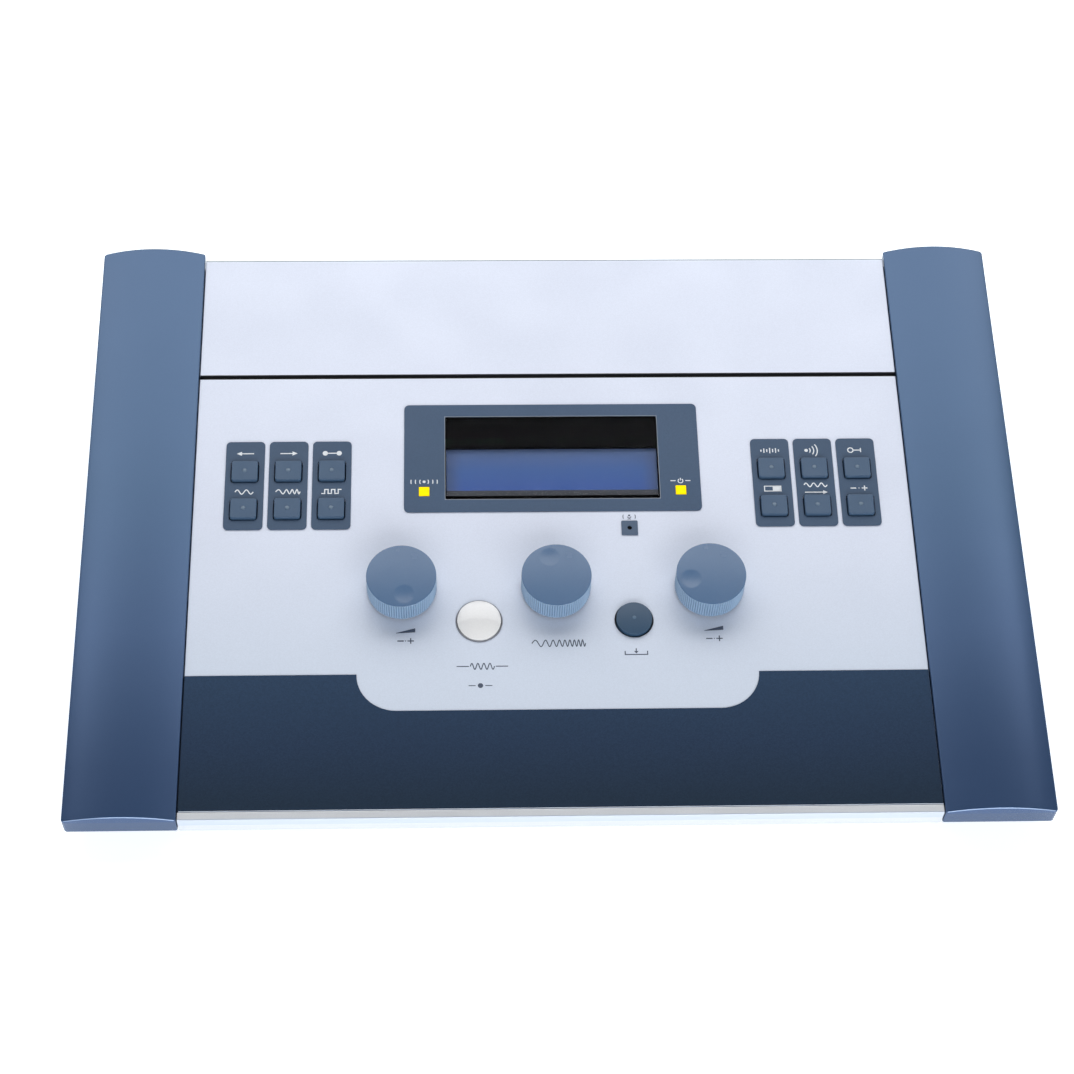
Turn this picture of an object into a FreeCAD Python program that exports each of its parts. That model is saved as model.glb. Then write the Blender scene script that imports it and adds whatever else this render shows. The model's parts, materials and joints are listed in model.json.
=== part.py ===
import FreeCAD, Part
import math
import os

# Desktop audiometer console, in millimetres. +X is the user's right, -Y the front, +Z up.
# The origin is the middle of the base at table height.
# The working surface, the deck, slopes up to the rear. What belongs to it is drawn in the
# deck's own axes: u to the right, v up the slope from the deck's middle, n out of the deck.

os.makedirs("parts", exist_ok=True)
Vec = FreeCAD.Vector

# ---- case ----
slope = 9.0             # tilt of the deck, degrees
case_w = 360.0          # over both cheeks
deck_mid_z = 33.8       # height of the deck's middle above the table
deck_len = 244.3        # front edge of the control panel to rear edge of the cover
cover_len = 56.4        # rear cover, front to rear
joint_w = 1.6           # black joint line between the two plates
plate_t = 2.0           # control panel and rear cover
plate_edge_r = 0.3      # softened plate edges
side_gap = 0.35         # between a plate and a cheek

cheek_w = 41.0
cheek_rise = 1.0        # a cheek's long edges over the deck
cheek_crown = 3.3       # rise of the rounded top between its long edges
cheek_wall = 2.5
cheek_front = 4.0       # a cheek's reach ahead of the control panel
cheek_rear = 2.6        # and behind the rear cover
cheek_corner_r = 1.3    # outer upright corners
cheek_inner_r = 0.7     # upright corners beside the plates
cheek_top_r = 0.6       # around the top
cheek_foot_r = 0.6      # around the bottom
cheek_lift = 2.0        # bottom of a cheek over the tray's underside

rail_w = 3.5            # light strip ahead of the control panel
rail_face_h = 8.9
rail_face_t = 1.6
rail_edge_r = 0.5
rail_gap = 0.1

tray_t = 1.5            # folded sheet of the base
tray_bend_r = 1.2
rear_t = 2.0            # rear panel
rear_overhang = 2.6     # rear cover over the rear panel
rear_window_side = 12.5 # tray's rear wall left beside its opening
rear_window_z0 = 10.0
rear_window_z1 = 42.0

foot_r = 7.0
foot_taper = 1.0
foot_h = 4.2
foot_inset = 21.0       # middle of a foot from the tray's sides, front and rear

apron_depth = 54.5      # front edge of the deck to the upper edge of the dark film
apron_tab_w = 150.0     # light tab left open in it
apron_tab_h = 15.1
apron_tab_r = 15.0
film_t = 0.25
film_margin = 0.15

seal_base_w = 11.0
seal_base_t = 1.5
seal_rib_clear = 0.1
seal_drop = 0.9         # top of the rib under the deck

bar_w = 16.0            # cross bar, an upturned channel
bar_h = 10.0
bar_t = 1.5

# ---- display ----
window_w = 83.3
window_h = 37.8
window_back = 37.5      # joint line to the window's middle
window_r = 0.8
bezel_w = 115.3
bezel_h = 49.0
bezel_t = 0.4
bezel_r = 2.0
lens_t = 1.0
lens_top = 0.4          # over the deck
fit_gap = 0.1           # around a piece that sits still in its opening
frame_wall = 0.8        # surround, outside the window
frame_depth = 5.4
glass_w = 83.5
glass_h = 23.2
glass_drop = 5.8        # window's middle to the glass's middle
glass_t = 2.0
glass_lip = 0.5         # of the surround over each edge of the glass
glass_top = -2.4
lcd_board_w = 116.0
lcd_board_h = 37.0
board_t = 1.6
lamp_side = 4.0
lamp_u = 49.85
lamp_drop = 15.3        # window's middle to the lamps
lamp_top = 0.7
mic_u = 29.2
mic_drop = 32.1         # window's middle to the microphone
mic_side = 6.3
mic_t = 0.4
mic_hole_r = 0.9
mic_r = 3.0
mic_h = 4.7

# ---- keys ----
strip_w = 15.1
strip_h = 39.6
strip_r = 1.8
strip_t = 0.4
strip_drop = 12.0       # window's middle to the strips' middle
strip_pitch = 16.85
strip_side_gap = 11.75  # outermost strip to the plate's side
key_w = 10.1
key_h = 8.9
key_r = 0.9
key_top_r = 0.4
key_top = 1.6           # over the deck
key_skirt = 3.2         # under the deck
key_wall = 1.1
key_drop = 10.8         # strips' middle to the lower keys
key_pitch = 16.9
key_gap = 0.45
key_travel = 1.0
pip_r = 0.8
pip_h = 0.1
stem_r = 2.0
stem_gap = 0.3
stem_end_gap = 0.3      # left under a stem when it is pressed home
switch_side = 12.0
switch_h = 4.3
switch_r = 0.6

# ---- round buttons ----
button_u = 29.2
button_drop = 13.7      # knobs to buttons
button_travel = 1.2
button_gap = 0.25
button_skirt = 4.5
button_wall = 1.4
tone_r = 8.25
tone_edge = 0.9         # cap's rim over the deck
tone_dome = 1.6
store_r = 6.75
store_edge = 1.6
store_dome = 0.5
guide_wall = 0.3
guide_flange = 2.0
guide_flange_t = 1.2
guide_depth = 6.0
tone_guide_top = 0.25
store_guide_top = -0.3

# ---- knobs ----
knob_u = 58.3
knob_drop = 58.5        # window's middle to the knobs
knob_r = 13.2
knob_rib_depth = 0.3
knob_ribs = 86
knob_base = 1.0         # over the deck
knob_top = 11.4
knob_edge = 0.4
knob_rim = 0.5          # plain rim over the ribs
knob_hollow_r = 9.5
knob_hollow_h = 4.0
dimple_r = 3.6
dimple_depth = 0.8
dimple_off = 8.0
shaft_r = 3.0
shaft_gap = 0.05
shaft_end_gap = 0.3
shaft_grip = 4.5        # length of shaft inside the knob
bush_r = 4.5
bush_top = 4.5
bush_gap = 0.2
encoder_side = 13.0
encoder_h = 6.5
nut_af = 12.0
nut_t = 2.2
thread_gap = 0.05

# ---- boards and fixings ----
past = 1.0              # how far a cutting shape runs past a face
board_drop = 12.0       # upper face of the panel board under the deck
board_margin_u = 6.0    # panel board beyond its outermost switches
board_margin_v = 9.0
board_corner_r = 1.0
stud_r = 2.5
stud_inset = 3.0
stud_u_in = 72.0
bolt_r = 1.5            # M3
bolt_gap = 0.05
bolt_hole_gap = 0.2
head_r = 2.8
head_h = 2.0
head_edge_r = 0.7
bolt_len = 6.0
lcd_bolt_len = 4.0
cheek_bolt_len = 10.0
boss_r = 4.0
boss_len = 11.0
boss_front = 40.5       # first and last boss from the ends of a cheek
boss_rear = 32.0
bracket_leg = 12.0
bracket_drop = 9.0
bracket_w = 12.0
bracket_t = 1.5
bracket_inset = 24.0    # from the outer edges of the two plates
bracket_joint = 14.0    # from the joint line
plate_bolt_len = 5.0
plate_nut_af = 5.5
plate_nut_t = 2.4
main_w = 150.0
main_d = 80.0
main_gap = 5.0          # between the main board and the rear sockets
standoff_r = 2.8
standoff_h = 8.0
standoff_inset = 5.0
ribbon_w = 25.0
ribbon_t = 0.9
ribbon_leg = 0.3        # straight ends beyond its bends
ribbon_inset = 5.0      # upper end from the panel board's rear edge
header_h = 5.0
header_d = 6.0
header_wall = 2.0
cap_r = 4.0             # smoothing capacitors
cap_h = 7.0
cap_x = (50.0, 62.0)
cap_y = 46.0            # from the main board's front edge
chips = (               # x, distance from the front edge, width, depth, height
    (0.0, 36.0, 28.0, 28.0, 2.4),
    (-39.0, 42.0, 18.0, 12.0, 2.0),
    (-39.0, 60.0, 18.0, 12.0, 2.0),
    (36.0, 26.0, 12.0, 8.0, 2.0),
)

# ---- rear sockets ----
socket_z = 28.0
socket_inset = 34.65    # plate's side to the first socket, and to the inlet
socket_pitch = 26.0
socket_count = 4
socket_side = 16.0
socket_depth = 24.0
socket_bore_r = 3.25
sleeve_out = 2.6
inlet_r = 5.5
inlet_flange_r = 7.0
inlet_flange_t = 1.5
inlet_bore_r = 2.9
inlet_bore_depth = 9.5
inlet_depth = 14.0
inlet_pin_r = 1.0
rocker_from_inlet = 30.0
rocker_half_w = 4.3
rocker_r = 8.6          # round ends about the pivot
rocker_gap = 0.3
rocker_swing = 14.0     # degrees from off to on
rocker_slope = 9.0      # of each face from the middle
rocker_mid = 2.4        # face over the pivot
rocker_proud = 0.6      # middle of the face over the frame
rocker_under = 3.0
rocker_pin_r = 1.0
rocker_pin_len = 1.0
rocker_frame_wall = 1.9
rocker_flange = 1.0
rocker_flange_t = 1.6
rocker_frame_depth = 14.0

# ---- worked out from the above ----
half_case = case_w / 2
cheek_in = half_case - cheek_w
plate_half = cheek_in - side_gap
wall_in = cheek_in - tray_t
deck_front = -deck_len / 2
deck_rear = deck_len / 2
joint_v = deck_rear - cover_len - joint_w       # rear edge of the control panel
apron_top_v = deck_front + apron_depth
window_v = joint_v - window_back                # middle of the window
glass_v = window_v - glass_drop
lamp_v = window_v - lamp_drop
mic_v = window_v - mic_drop
strip_v = window_v - strip_drop
key_lower_v = strip_v - key_drop
knob_v = window_v - knob_drop
button_v = knob_v - button_drop
strip_u = plate_half - strip_side_gap - strip_w / 2 - strip_pitch   # middle strip of a group
half_window = wall_in - rear_window_side
socket_x = [socket_inset - plate_half + k * socket_pitch for k in range(socket_count)]
inlet_x = plate_half - socket_inset
rocker_x = inlet_x - rocker_from_inlet
cheek_front_v = deck_front - cheek_front
rail_front_v = deck_front - rail_w
tray_front_v = rail_front_v + rail_face_t
cheek_peak = cheek_rise + cheek_crown
cheek_floor = foot_h + cheek_lift
sin_s = math.sin(math.radians(slope))
cos_s = math.cos(math.radians(slope))

# The cheeks set the depth: their leading edge leans forward, their rear end is upright.
lead_y = (cheek_front_v + cheek_top_r) * cos_s - (cheek_peak - cheek_top_r) * sin_s - cheek_top_r
trail_y = (deck_rear + cheek_rear) * cos_s
deck_y = -(lead_y + trail_y) / 2
cheek_rear_y = trail_y + deck_y
deck_place = FreeCAD.Placement(
    Vec(0, deck_y, deck_mid_z), FreeCAD.Rotation(Vec(1, 0, 0), slope)
)

floor_z = foot_h + tray_t
rear_face_y = deck_rear * cos_s + plate_t * sin_s + deck_y - rear_overhang
rear_in_y = rear_face_y - rear_t
tray_rear_y = rear_in_y
board_top = -board_drop
board_half_w = strip_u + strip_pitch + switch_side / 2 + board_margin_u
board_v0 = button_v - switch_side / 2 - board_margin_v
board_v1 = key_lower_v + key_pitch + switch_side / 2 + board_margin_v
main_y1 = rear_in_y - socket_depth - main_gap
main_y0 = main_y1 - main_d
header_y = main_y1 - header_d
stem_end = board_top + key_travel + 2 * stem_end_gap
round_stem_end = board_top + button_travel + 2 * stem_end_gap
frame_top = lens_top - lens_t
frame_bottom = frame_top - frame_depth
reach = case_w          # longer than anything that it cuts
tiny = 0.01

pieces = {}


def keep(name, shape):
    """Hold a finished sub-part until it is written."""
    pieces[name] = shape


def on_deck(shape):
    """Move a shape from the deck's axes to the console's."""
    moved = shape.copy()
    moved.Placement = deck_place.multiply(moved.Placement)
    return moved


def deck_point(u, v, n):
    return deck_place.multVec(Vec(u, v, n))


def block(x0, x1, y0, y1, z0, z1):
    return Part.makeBox(x1 - x0, y1 - y0, z1 - z0, Vec(x0, y0, z0))


def round_block(x0, x1, y0, y1, z0, z1, radius):
    """A block with its four upright edges rounded."""
    body = block(x0, x1, y0, y1, z0, z1)
    upright = [e for e in body.Edges if abs(e.tangentAt(e.FirstParameter).z) > 0.9]
    return body.makeFillet(radius, upright)


def centred(width, height, u, v, n0, n1, radius):
    """A rounded block about the point u, v."""
    return round_block(u - width / 2, u + width / 2, v - height / 2, v + height / 2, n0, n1, radius)


def rod(radius, u, v, n0, n1):
    return Part.makeCylinder(radius, n1 - n0, Vec(u, v, n0), Vec(0, 0, 1))


def rod_y(radius, x, z, y0, y1):
    return Part.makeCylinder(radius, y1 - y0, Vec(x, y0, z), Vec(0, 1, 0))


def rod_x(radius, y, z, x0, x1):
    return Part.makeCylinder(radius, x1 - x0, Vec(x0, y, z), Vec(1, 0, 0))


def prism(points, direction):
    """A solid from a closed outline of points and one direction."""
    return Part.Face(Part.makePolygon(points + points[:1])).extrude(direction)


def hexagon(across_flats, centre, axis, length):
    """A hexagonal bar from centre along axis."""
    corner = across_flats / 2 / math.cos(math.pi / 6)
    points = []
    for k in range(6):
        angle = k * math.pi / 3
        points.append(Vec(corner * math.cos(angle), corner * math.sin(angle), 0))
    bar = prism(points, Vec(0, 0, length))
    bar.Placement = FreeCAD.Placement(centre, FreeCAD.Rotation(Vec(0, 0, 1), axis))
    return bar


def flat_edges(shape, level):
    """Edges that lie flat at one height."""
    found = []
    for e in shape.Edges:
        box = e.BoundBox
        if abs(box.ZMin - level) < tiny and abs(box.ZMax - level) < tiny:
            found.append(e)
    return found


def soften(shape, level, radius):
    """Round every edge that lies flat at one height."""
    return shape.makeFillet(radius, flat_edges(shape, level))


def upright_edges(shape):
    """Edges that stand, or lean only forward or back."""
    found = []
    for e in shape.Edges:
        direction = e.tangentAt(e.FirstParameter)
        if abs(direction.x) < tiny and abs(direction.z) > 0.9:
            found.append(e)
    return found


def uppermost(shape, face_area):
    """The highest face of a shape among those larger than an area."""
    large = [f for f in shape.Faces if f.Area > face_area]
    return max(large, key=lambda f: f.CenterOfMass.z)


def group(solids):
    return Part.makeCompound(solids)


# ---- case ----
def crowned_bar(inset, start_v, level):
    """A cheek's section, inset by a wall, run along the slope."""
    u0 = cheek_in + inset
    u1 = half_case - inset
    edge_n = cheek_rise - inset
    peak_n = cheek_peak - inset
    left = Vec(u0, start_v, edge_n)
    right = Vec(u1, start_v, edge_n)
    top = Part.Arc(left, Vec((u0 + u1) / 2, start_v, peak_n), right).toShape()
    foot_right = Vec(u1, start_v, level)
    foot_left = Vec(u0, start_v, level)
    sides = Part.makePolygon([right, foot_right, foot_left, left])
    section = Part.Face(Part.Wire([top] + sides.Edges))
    return section.extrude(Vec(0, reach, 0))


def boss_places():
    """Depth and height of the cheeks' screw bosses, half way up the case."""
    places = []
    for y in (-cheek_rear_y + boss_front, 0.0, cheek_rear_y - boss_rear):
        deck_z = deck_mid_z + (y - deck_y) * sin_s / cos_s
        places.append((y, (foot_h + deck_z) / 2))
    return places


def cheek():
    """Right cheek: a crowned shell, open underneath, with screw bosses on its inner wall."""
    deep = -reach / 2
    outer = on_deck(crowned_bar(0, cheek_front_v, deep))
    outer = outer.common(block(0, reach, -reach, cheek_rear_y, cheek_floor, reach))
    middle = cheek_in + cheek_w / 2
    corners = upright_edges(outer)
    outer = outer.makeFillet(cheek_corner_r, [e for e in corners if e.CenterOfMass.x > middle])
    corners = upright_edges(outer)
    outer = outer.makeFillet(cheek_inner_r, [e for e in corners if e.CenterOfMass.x < middle])
    outer = outer.makeFillet(cheek_foot_r, flat_edges(outer, cheek_floor))
    outer = outer.makeFillet(cheek_top_r, uppermost(outer, cheek_w * deck_len / 2).Edges)
    inner = on_deck(crowned_bar(cheek_wall, cheek_front_v + cheek_wall, deep))
    rear = cheek_rear_y - cheek_wall
    inner = inner.common(block(0, reach, -reach, rear, cheek_floor - cheek_wall, reach))
    shell = outer.cut(inner)
    start = cheek_in + cheek_wall / 2
    for y, z in boss_places():
        shell = shell.fuse(rod_x(boss_r, y, z, start, cheek_in + boss_len))
        pilot = rod_x(bolt_r + bolt_gap, y, z, cheek_in - past, cheek_in + boss_len - past)
        shell = shell.cut(pilot)
    return shell.removeSplitter()


def mirrored(shape):
    return shape.mirror(Vec(0, 0, 0), Vec(1, 0, 0))


def tray_outline(inset, half_w, top_n):
    """Side outline of the base, inset by its sheet, between two side walls."""
    front_v = tray_front_v + inset
    floor = foot_h + inset
    rear = tray_rear_y - inset
    front_top = deck_point(0, front_v, top_n)
    drop = (front_top.z - floor) / cos_s
    front_low = deck_point(0, front_v, top_n - drop)
    over = (rear - front_top.y) / cos_s
    rear_top = deck_point(0, front_v + over, top_n)
    points = [(front_top.y, front_top.z), (front_low.y, floor), (rear, floor), (rear, rear_top.z)]
    return prism([Vec(-half_w, y, z) for y, z in points], Vec(2 * half_w, 0, 0))


def rear_bolts():
    """Where the rear panel is screwed on: its sides, and the middle above and below the window."""
    side_x = (half_window + wall_in) / 2
    rear_top = deck_point(0, deck_rear, -plate_t).z
    spots = []
    for x in (-side_x, side_x):
        spots.append((x, rear_window_z0 + head_r))
        spots.append((x, rear_window_z1 - head_r))
    spots.append((0, (floor_z + rear_window_z0) / 2))
    spots.append((0, (rear_window_z1 + rear_top) / 2 - head_r / 2))
    return spots


def standoff_spots():
    x = main_w / 2 - standoff_inset
    return [(sx * x, y) for sx in (-1, 1) for y in (main_y0 + standoff_inset, main_y1 - standoff_inset)]


def tray():
    body = tray_outline(0, cheek_in, -plate_t)
    body = body.makeFillet(tray_bend_r, flat_edges(body, foot_h))
    body = body.cut(tray_outline(tray_t, wall_in, 2 * plate_t))
    body = body.cut(block(-half_window, half_window, tray_rear_y - 2 * tray_t, tray_rear_y + past,
                          rear_window_z0, rear_window_z1))
    hole = bolt_r + bolt_hole_gap
    for y, z in boss_places():
        body = body.cut(rod_x(hole, y, z, -cheek_in - past, cheek_in + past))
    for x, z in rear_bolts():
        body = body.cut(rod_y(bolt_r + bolt_gap, x, z, tray_rear_y - 2 * tray_t, tray_rear_y + past))
    return body


def rear_panel():
    top = deck_point(0, deck_rear, 0).z
    half = cheek_in - fit_gap
    body = block(-half, half, rear_in_y, rear_face_y, foot_h, top)
    body = body.cut(on_deck(block(-reach, reach, -reach, reach, -plate_t, reach)))
    for x, z in rear_bolts():
        body = body.cut(rod_y(bolt_r + bolt_hole_gap, x, z, rear_in_y - past, rear_face_y + past))
    for x in socket_x:
        body = body.cut(rod_y(bush_r + bush_gap, x, socket_z, rear_in_y - past, rear_face_y + past))
    body = body.cut(rod_y(inlet_r + fit_gap, inlet_x, socket_z, rear_in_y - past, rear_face_y + past))
    half_x = rocker_half_w + rocker_gap + rocker_frame_wall + fit_gap
    half_z = rocker_r + rocker_gap + rocker_frame_wall + fit_gap
    slot = block(rocker_x - half_x, rocker_x + half_x, rear_in_y - past, rear_face_y + past,
                 socket_z - half_z, socket_z + half_z)
    return body.cut(slot)


def key_places():
    """Name, u and v of each key."""
    places = []
    for side, sign in (("left", -1), ("right", 1)):
        for row in (1, 0):
            for col in (-1, 0, 1):
                number = 3 * (1 - row) + col + 2
                u = sign * strip_u + col * strip_pitch
                places.append((f"key_{side}_{number}", u, key_lower_v + row * key_pitch))
    return places


def strip_places():
    return [sign * strip_u + col * strip_pitch for sign in (-1, 1) for col in (-1, 0, 1)]


def key_hole(u, v, n0, n1):
    width = key_w + 2 * key_gap
    height = key_h + 2 * key_gap
    return centred(width, height, u, v, n0, n1, key_r + key_gap)


def control_panel():
    body = block(-plate_half, plate_half, deck_front, joint_v, -plate_t, 0)
    body = soften(body, 0, plate_edge_r)
    low = -plate_t - past
    for name, u, v in key_places():
        body = body.cut(key_hole(u, v, low, past))
    cut_w = window_w + 2 * frame_wall + 2 * fit_gap
    cut_h = window_h + 2 * frame_wall + 2 * fit_gap
    body = body.cut(centred(cut_w, cut_h, 0, window_v, low, past, window_r))
    for u in (-lamp_u, lamp_u):
        side = lamp_side + 2 * fit_gap
        body = body.cut(centred(side, side, u, lamp_v, low, past, fit_gap))
    for u in (-knob_u, 0, knob_u):
        body = body.cut(rod(bush_r + bush_gap, u, knob_v, low, past))
    body = body.cut(rod(guide_out(tone_r) + fit_gap, -button_u, button_v, low, past))
    body = body.cut(rod(guide_out(store_r) + fit_gap, button_u, button_v, low, past))
    return body.cut(rod(mic_r + fit_gap, mic_u, mic_v, low, past))


def rear_cover():
    body = block(-plate_half, plate_half, joint_v + joint_w, deck_rear, -plate_t, 0)
    return soften(body, 0, plate_edge_r)


def front_rail():
    """An angle that hooks over the tray's front wall, its top strip level with the deck."""
    back_v = deck_front - rail_gap
    leg_v = rail_front_v + rail_face_t
    points = [
        (rail_front_v, 0), (back_v, 0), (back_v, -plate_t),
        (leg_v, -plate_t), (leg_v, -rail_face_h), (rail_front_v, -rail_face_h),
    ]
    body = prism([Vec(-plate_half, v, n) for v, n in points], Vec(2 * plate_half, 0, 0))
    long_top = [e for e in flat_edges(body, 0) if e.Length > plate_half]
    return body.makeFillet(rail_edge_r, long_top)


def gap_seal():
    mid_v = joint_v + joint_w / 2
    length = wall_in - fit_gap
    base = block(-length, length, mid_v - seal_base_w / 2, mid_v + seal_base_w / 2,
                 -plate_t - seal_base_t, -plate_t)
    half_rib = joint_w / 2 - seal_rib_clear
    rib = block(-length, length, mid_v - half_rib, mid_v + half_rib, -plate_t, -seal_drop)
    return base.fuse(rib).removeSplitter()


def cross_bar():
    """Upturned channel under the joint line, from side wall to side wall."""
    mid_v = joint_v + joint_w / 2
    top = -plate_t - seal_base_t
    body = block(-wall_in, wall_in, mid_v - bar_w / 2, mid_v + bar_w / 2, top - bar_h, top)
    inner = bar_w / 2 - bar_t
    return body.cut(block(-reach, reach, mid_v - inner, mid_v + inner, top - bar_h - past, top - bar_t))


def apron_label():
    """Dark film over the front of the control panel, open at the light tab."""
    half = plate_half - film_margin
    front = deck_front + film_margin
    body = block(-half, half, front, apron_top_v, 0, film_t)
    tab = round_block(-apron_tab_w / 2, apron_tab_w / 2, apron_top_v - apron_tab_h,
                      apron_top_v + 2 * apron_tab_r, -past, past, apron_tab_r)
    return body.cut(tab)


def feet():
    solids = []
    foot_x = cheek_in - foot_inset
    front_y = deck_point(0, tray_front_v, 0).y + foot_inset
    for x in (-foot_x, foot_x):
        for y in (front_y, tray_rear_y - foot_inset):
            foot = Part.makeCone(foot_r - foot_taper, foot_r, foot_h, Vec(x, y, 0), Vec(0, 0, 1))
            solids.append(foot)
    return group(solids)


keep("right_cheek", cheek())
keep("left_cheek", mirrored(pieces["right_cheek"]))
keep("base_tray", tray())
keep("rear_panel", rear_panel())


# ---- display ----
def guide_out(cap_r):
    return cap_r + button_gap + guide_wall


def display_bezel():
    body = centred(bezel_w, bezel_h, 0, window_v, 0, bezel_t, bezel_r)
    body = body.cut(centred(window_w, window_h, 0, window_v, -past, bezel_t + past, window_r))
    for u in (-lamp_u, lamp_u):
        side = lamp_side + 2 * fit_gap
        body = body.cut(centred(side, side, u, lamp_v, -past, bezel_t + past, fit_gap))
    return body


def display_lens():
    width = window_w - 2 * fit_gap
    height = window_h - 2 * fit_gap
    return centred(width, height, 0, window_v, frame_top, lens_top, window_r - fit_gap)


def lcd_frame():
    """Black surround behind the lens, with the glass let in from underneath."""
    width = window_w + 2 * frame_wall
    height = window_h + 2 * frame_wall
    body = centred(width, height, 0, window_v, frame_bottom, frame_top, window_r)
    body = body.cut(centred(glass_w - 2 * glass_lip, glass_h - 2 * glass_lip, 0, glass_v,
                            glass_top - past, frame_top + past, fit_gap))
    return body.cut(centred(glass_w, glass_h, 0, glass_v, frame_bottom - past, glass_top, fit_gap))


def lcd_glass():
    """The display's glass and, under it, its light guide."""
    low = glass_top - glass_t
    width = glass_w - 2 * fit_gap
    height = glass_h - 2 * fit_gap
    glass = centred(width, height, 0, glass_v, low, glass_top, fit_gap)
    guide = centred(width, height, 0, glass_v, frame_bottom, low, fit_gap)
    return group([glass, guide])


def lcd_stud_places():
    u = lcd_board_w / 2 - stud_inset
    v = lcd_board_h / 2 - stud_inset
    return [(su * u, glass_v + sv * v) for su in (-1, 1) for sv in (-1, 1)]


def panel_stud_places():
    outer = board_half_w - stud_inset
    rows = (board_v0 + stud_inset, board_v1 - stud_inset)
    return [(u, v) for u in (-outer, -stud_u_in, stud_u_in, outer) for v in rows]


def lcd_board():
    low = frame_bottom - board_t
    body = centred(lcd_board_w, lcd_board_h, 0, glass_v, low, frame_bottom, board_corner_r)
    for u, v in lcd_stud_places():
        body = body.cut(rod(bolt_r + bolt_hole_gap, u, v, low - past, frame_bottom + past))
    return body


def lamp(u):
    body = centred(lamp_side, lamp_side, u, lamp_v, frame_bottom, lamp_top, fit_gap)
    return soften(body, lamp_top, plate_edge_r)


def mic_plate():
    body = centred(mic_side, mic_side, mic_u, mic_v, 0, mic_t, mic_t)
    return body.cut(rod(mic_hole_r, mic_u, mic_v, -past, mic_t + past))


keep("control_panel", on_deck(control_panel()))
keep("rear_cover", on_deck(rear_cover()))
keep("front_rail", on_deck(front_rail()))
keep("gap_seal", on_deck(gap_seal()))
keep("cross_bar", on_deck(cross_bar()))
keep("apron_label", on_deck(apron_label()))
keep("rubber_feet", feet())
keep("display_bezel", on_deck(display_bezel()))
keep("display_lens", on_deck(display_lens()))
keep("lcd_frame", on_deck(lcd_frame()))
keep("lcd_glass", on_deck(lcd_glass()))
keep("lcd_board", on_deck(lcd_board()))
keep("response_led", on_deck(lamp(-lamp_u)))
keep("power_led", on_deck(lamp(lamp_u)))
keep("mic_plate", on_deck(mic_plate()))
keep("mic_capsule", on_deck(rod(mic_r, mic_u, mic_v, -mic_h, 0)))


# ---- keys and their switches ----
def key_strips():
    solids = []
    for u in strip_places():
        strip = centred(strip_w, strip_h, u, strip_v, 0, strip_t, strip_r)
        for row in (0, 1):
            strip = strip.cut(key_hole(u, key_lower_v + row * key_pitch, -past, strip_t + past))
        solids.append(strip)
    return group(solids)


def key_cap(u, v):
    """A hollow square cap with its stem and a small pip in the middle."""
    body = centred(key_w, key_h, u, v, -key_skirt, key_top, key_r)
    body = soften(body, key_top, key_top_r)
    roof = key_top - key_wall
    hollow = centred(key_w - 2 * key_wall, key_h - 2 * key_wall, u, v,
                     -key_skirt - past, roof, fit_gap)
    body = body.cut(hollow)
    body = body.fuse(rod(stem_r, u, v, stem_end, roof + key_wall / 2))
    return body.fuse(rod(pip_r, u, v, key_top - key_wall / 2, key_top + pip_h)).removeSplitter()


def switch(u, v, well_bottom):
    top = board_top + switch_h
    body = centred(switch_side, switch_side, u, v, board_top, top, switch_r)
    return body.cut(rod(stem_r + stem_gap, u, v, well_bottom, top + past))


def push_switches():
    solids = []
    for name, u, v in key_places():
        solids.append(switch(u, v, stem_end - key_travel - stem_end_gap))
    for u in (-button_u, button_u):
        solids.append(switch(u, button_v, round_stem_end - button_travel - stem_end_gap))
    return group(solids)


keep("key_strips", on_deck(key_strips()))
for name, u, v in key_places():
    keep(name, on_deck(key_cap(u, v)))
keep("push_switches", on_deck(push_switches()))


# ---- round buttons ----
def dome(radius, rise, level):
    """A shallow round cap of one radius and rise, standing on a level."""
    ball = (radius * radius + rise * rise) / (2 * rise)
    sphere = Part.makeSphere(ball, Vec(0, 0, level + rise - ball))
    return sphere.common(rod(radius, 0, 0, level, level + 2 * rise))


def round_button(radius, edge, rise):
    body = rod(radius, 0, 0, -button_skirt, edge)
    body = body.fuse(dome(radius, rise, edge)).removeSplitter()
    roof = edge - button_wall / 2
    body = body.cut(rod(radius - button_wall, 0, 0, -button_skirt - past, roof))
    return body.fuse(rod(stem_r, 0, 0, round_stem_end, roof + button_wall / 2)).removeSplitter()


def button_guide(cap_r, top):
    """Collar that carries a round button, with a flange under the control panel."""
    inner = cap_r + button_gap
    outer = inner + guide_wall
    body = rod(outer, 0, 0, -guide_depth, top)
    body = body.fuse(rod(outer + guide_flange, 0, 0, -plate_t - guide_flange_t, -plate_t))
    return body.cut(rod(inner, 0, 0, -guide_depth - past, top + past)).removeSplitter()


def at_button(shape, side):
    shape.translate(Vec(side * button_u, button_v, 0))
    return on_deck(shape)


keep("tone_button", at_button(round_button(tone_r, tone_edge, tone_dome), -1))
keep("tone_guide", at_button(button_guide(tone_r, tone_guide_top), -1))
keep("store_button", at_button(round_button(store_r, store_edge, store_dome), 1))
keep("store_guide", at_button(button_guide(store_r, store_guide_top), 1))


# ---- knobs, shafts and encoders ----
def ribbed_bar(radius, n0, n1):
    """A round bar with fine upright ribs."""
    points = []
    for k in range(2 * knob_ribs):
        angle = k * math.pi / knob_ribs
        r = radius - knob_rib_depth * (k % 2)
        points.append(Vec(r * math.cos(angle), r * math.sin(angle), n0))
    return prism(points, Vec(0, 0, n1 - n0))


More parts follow.
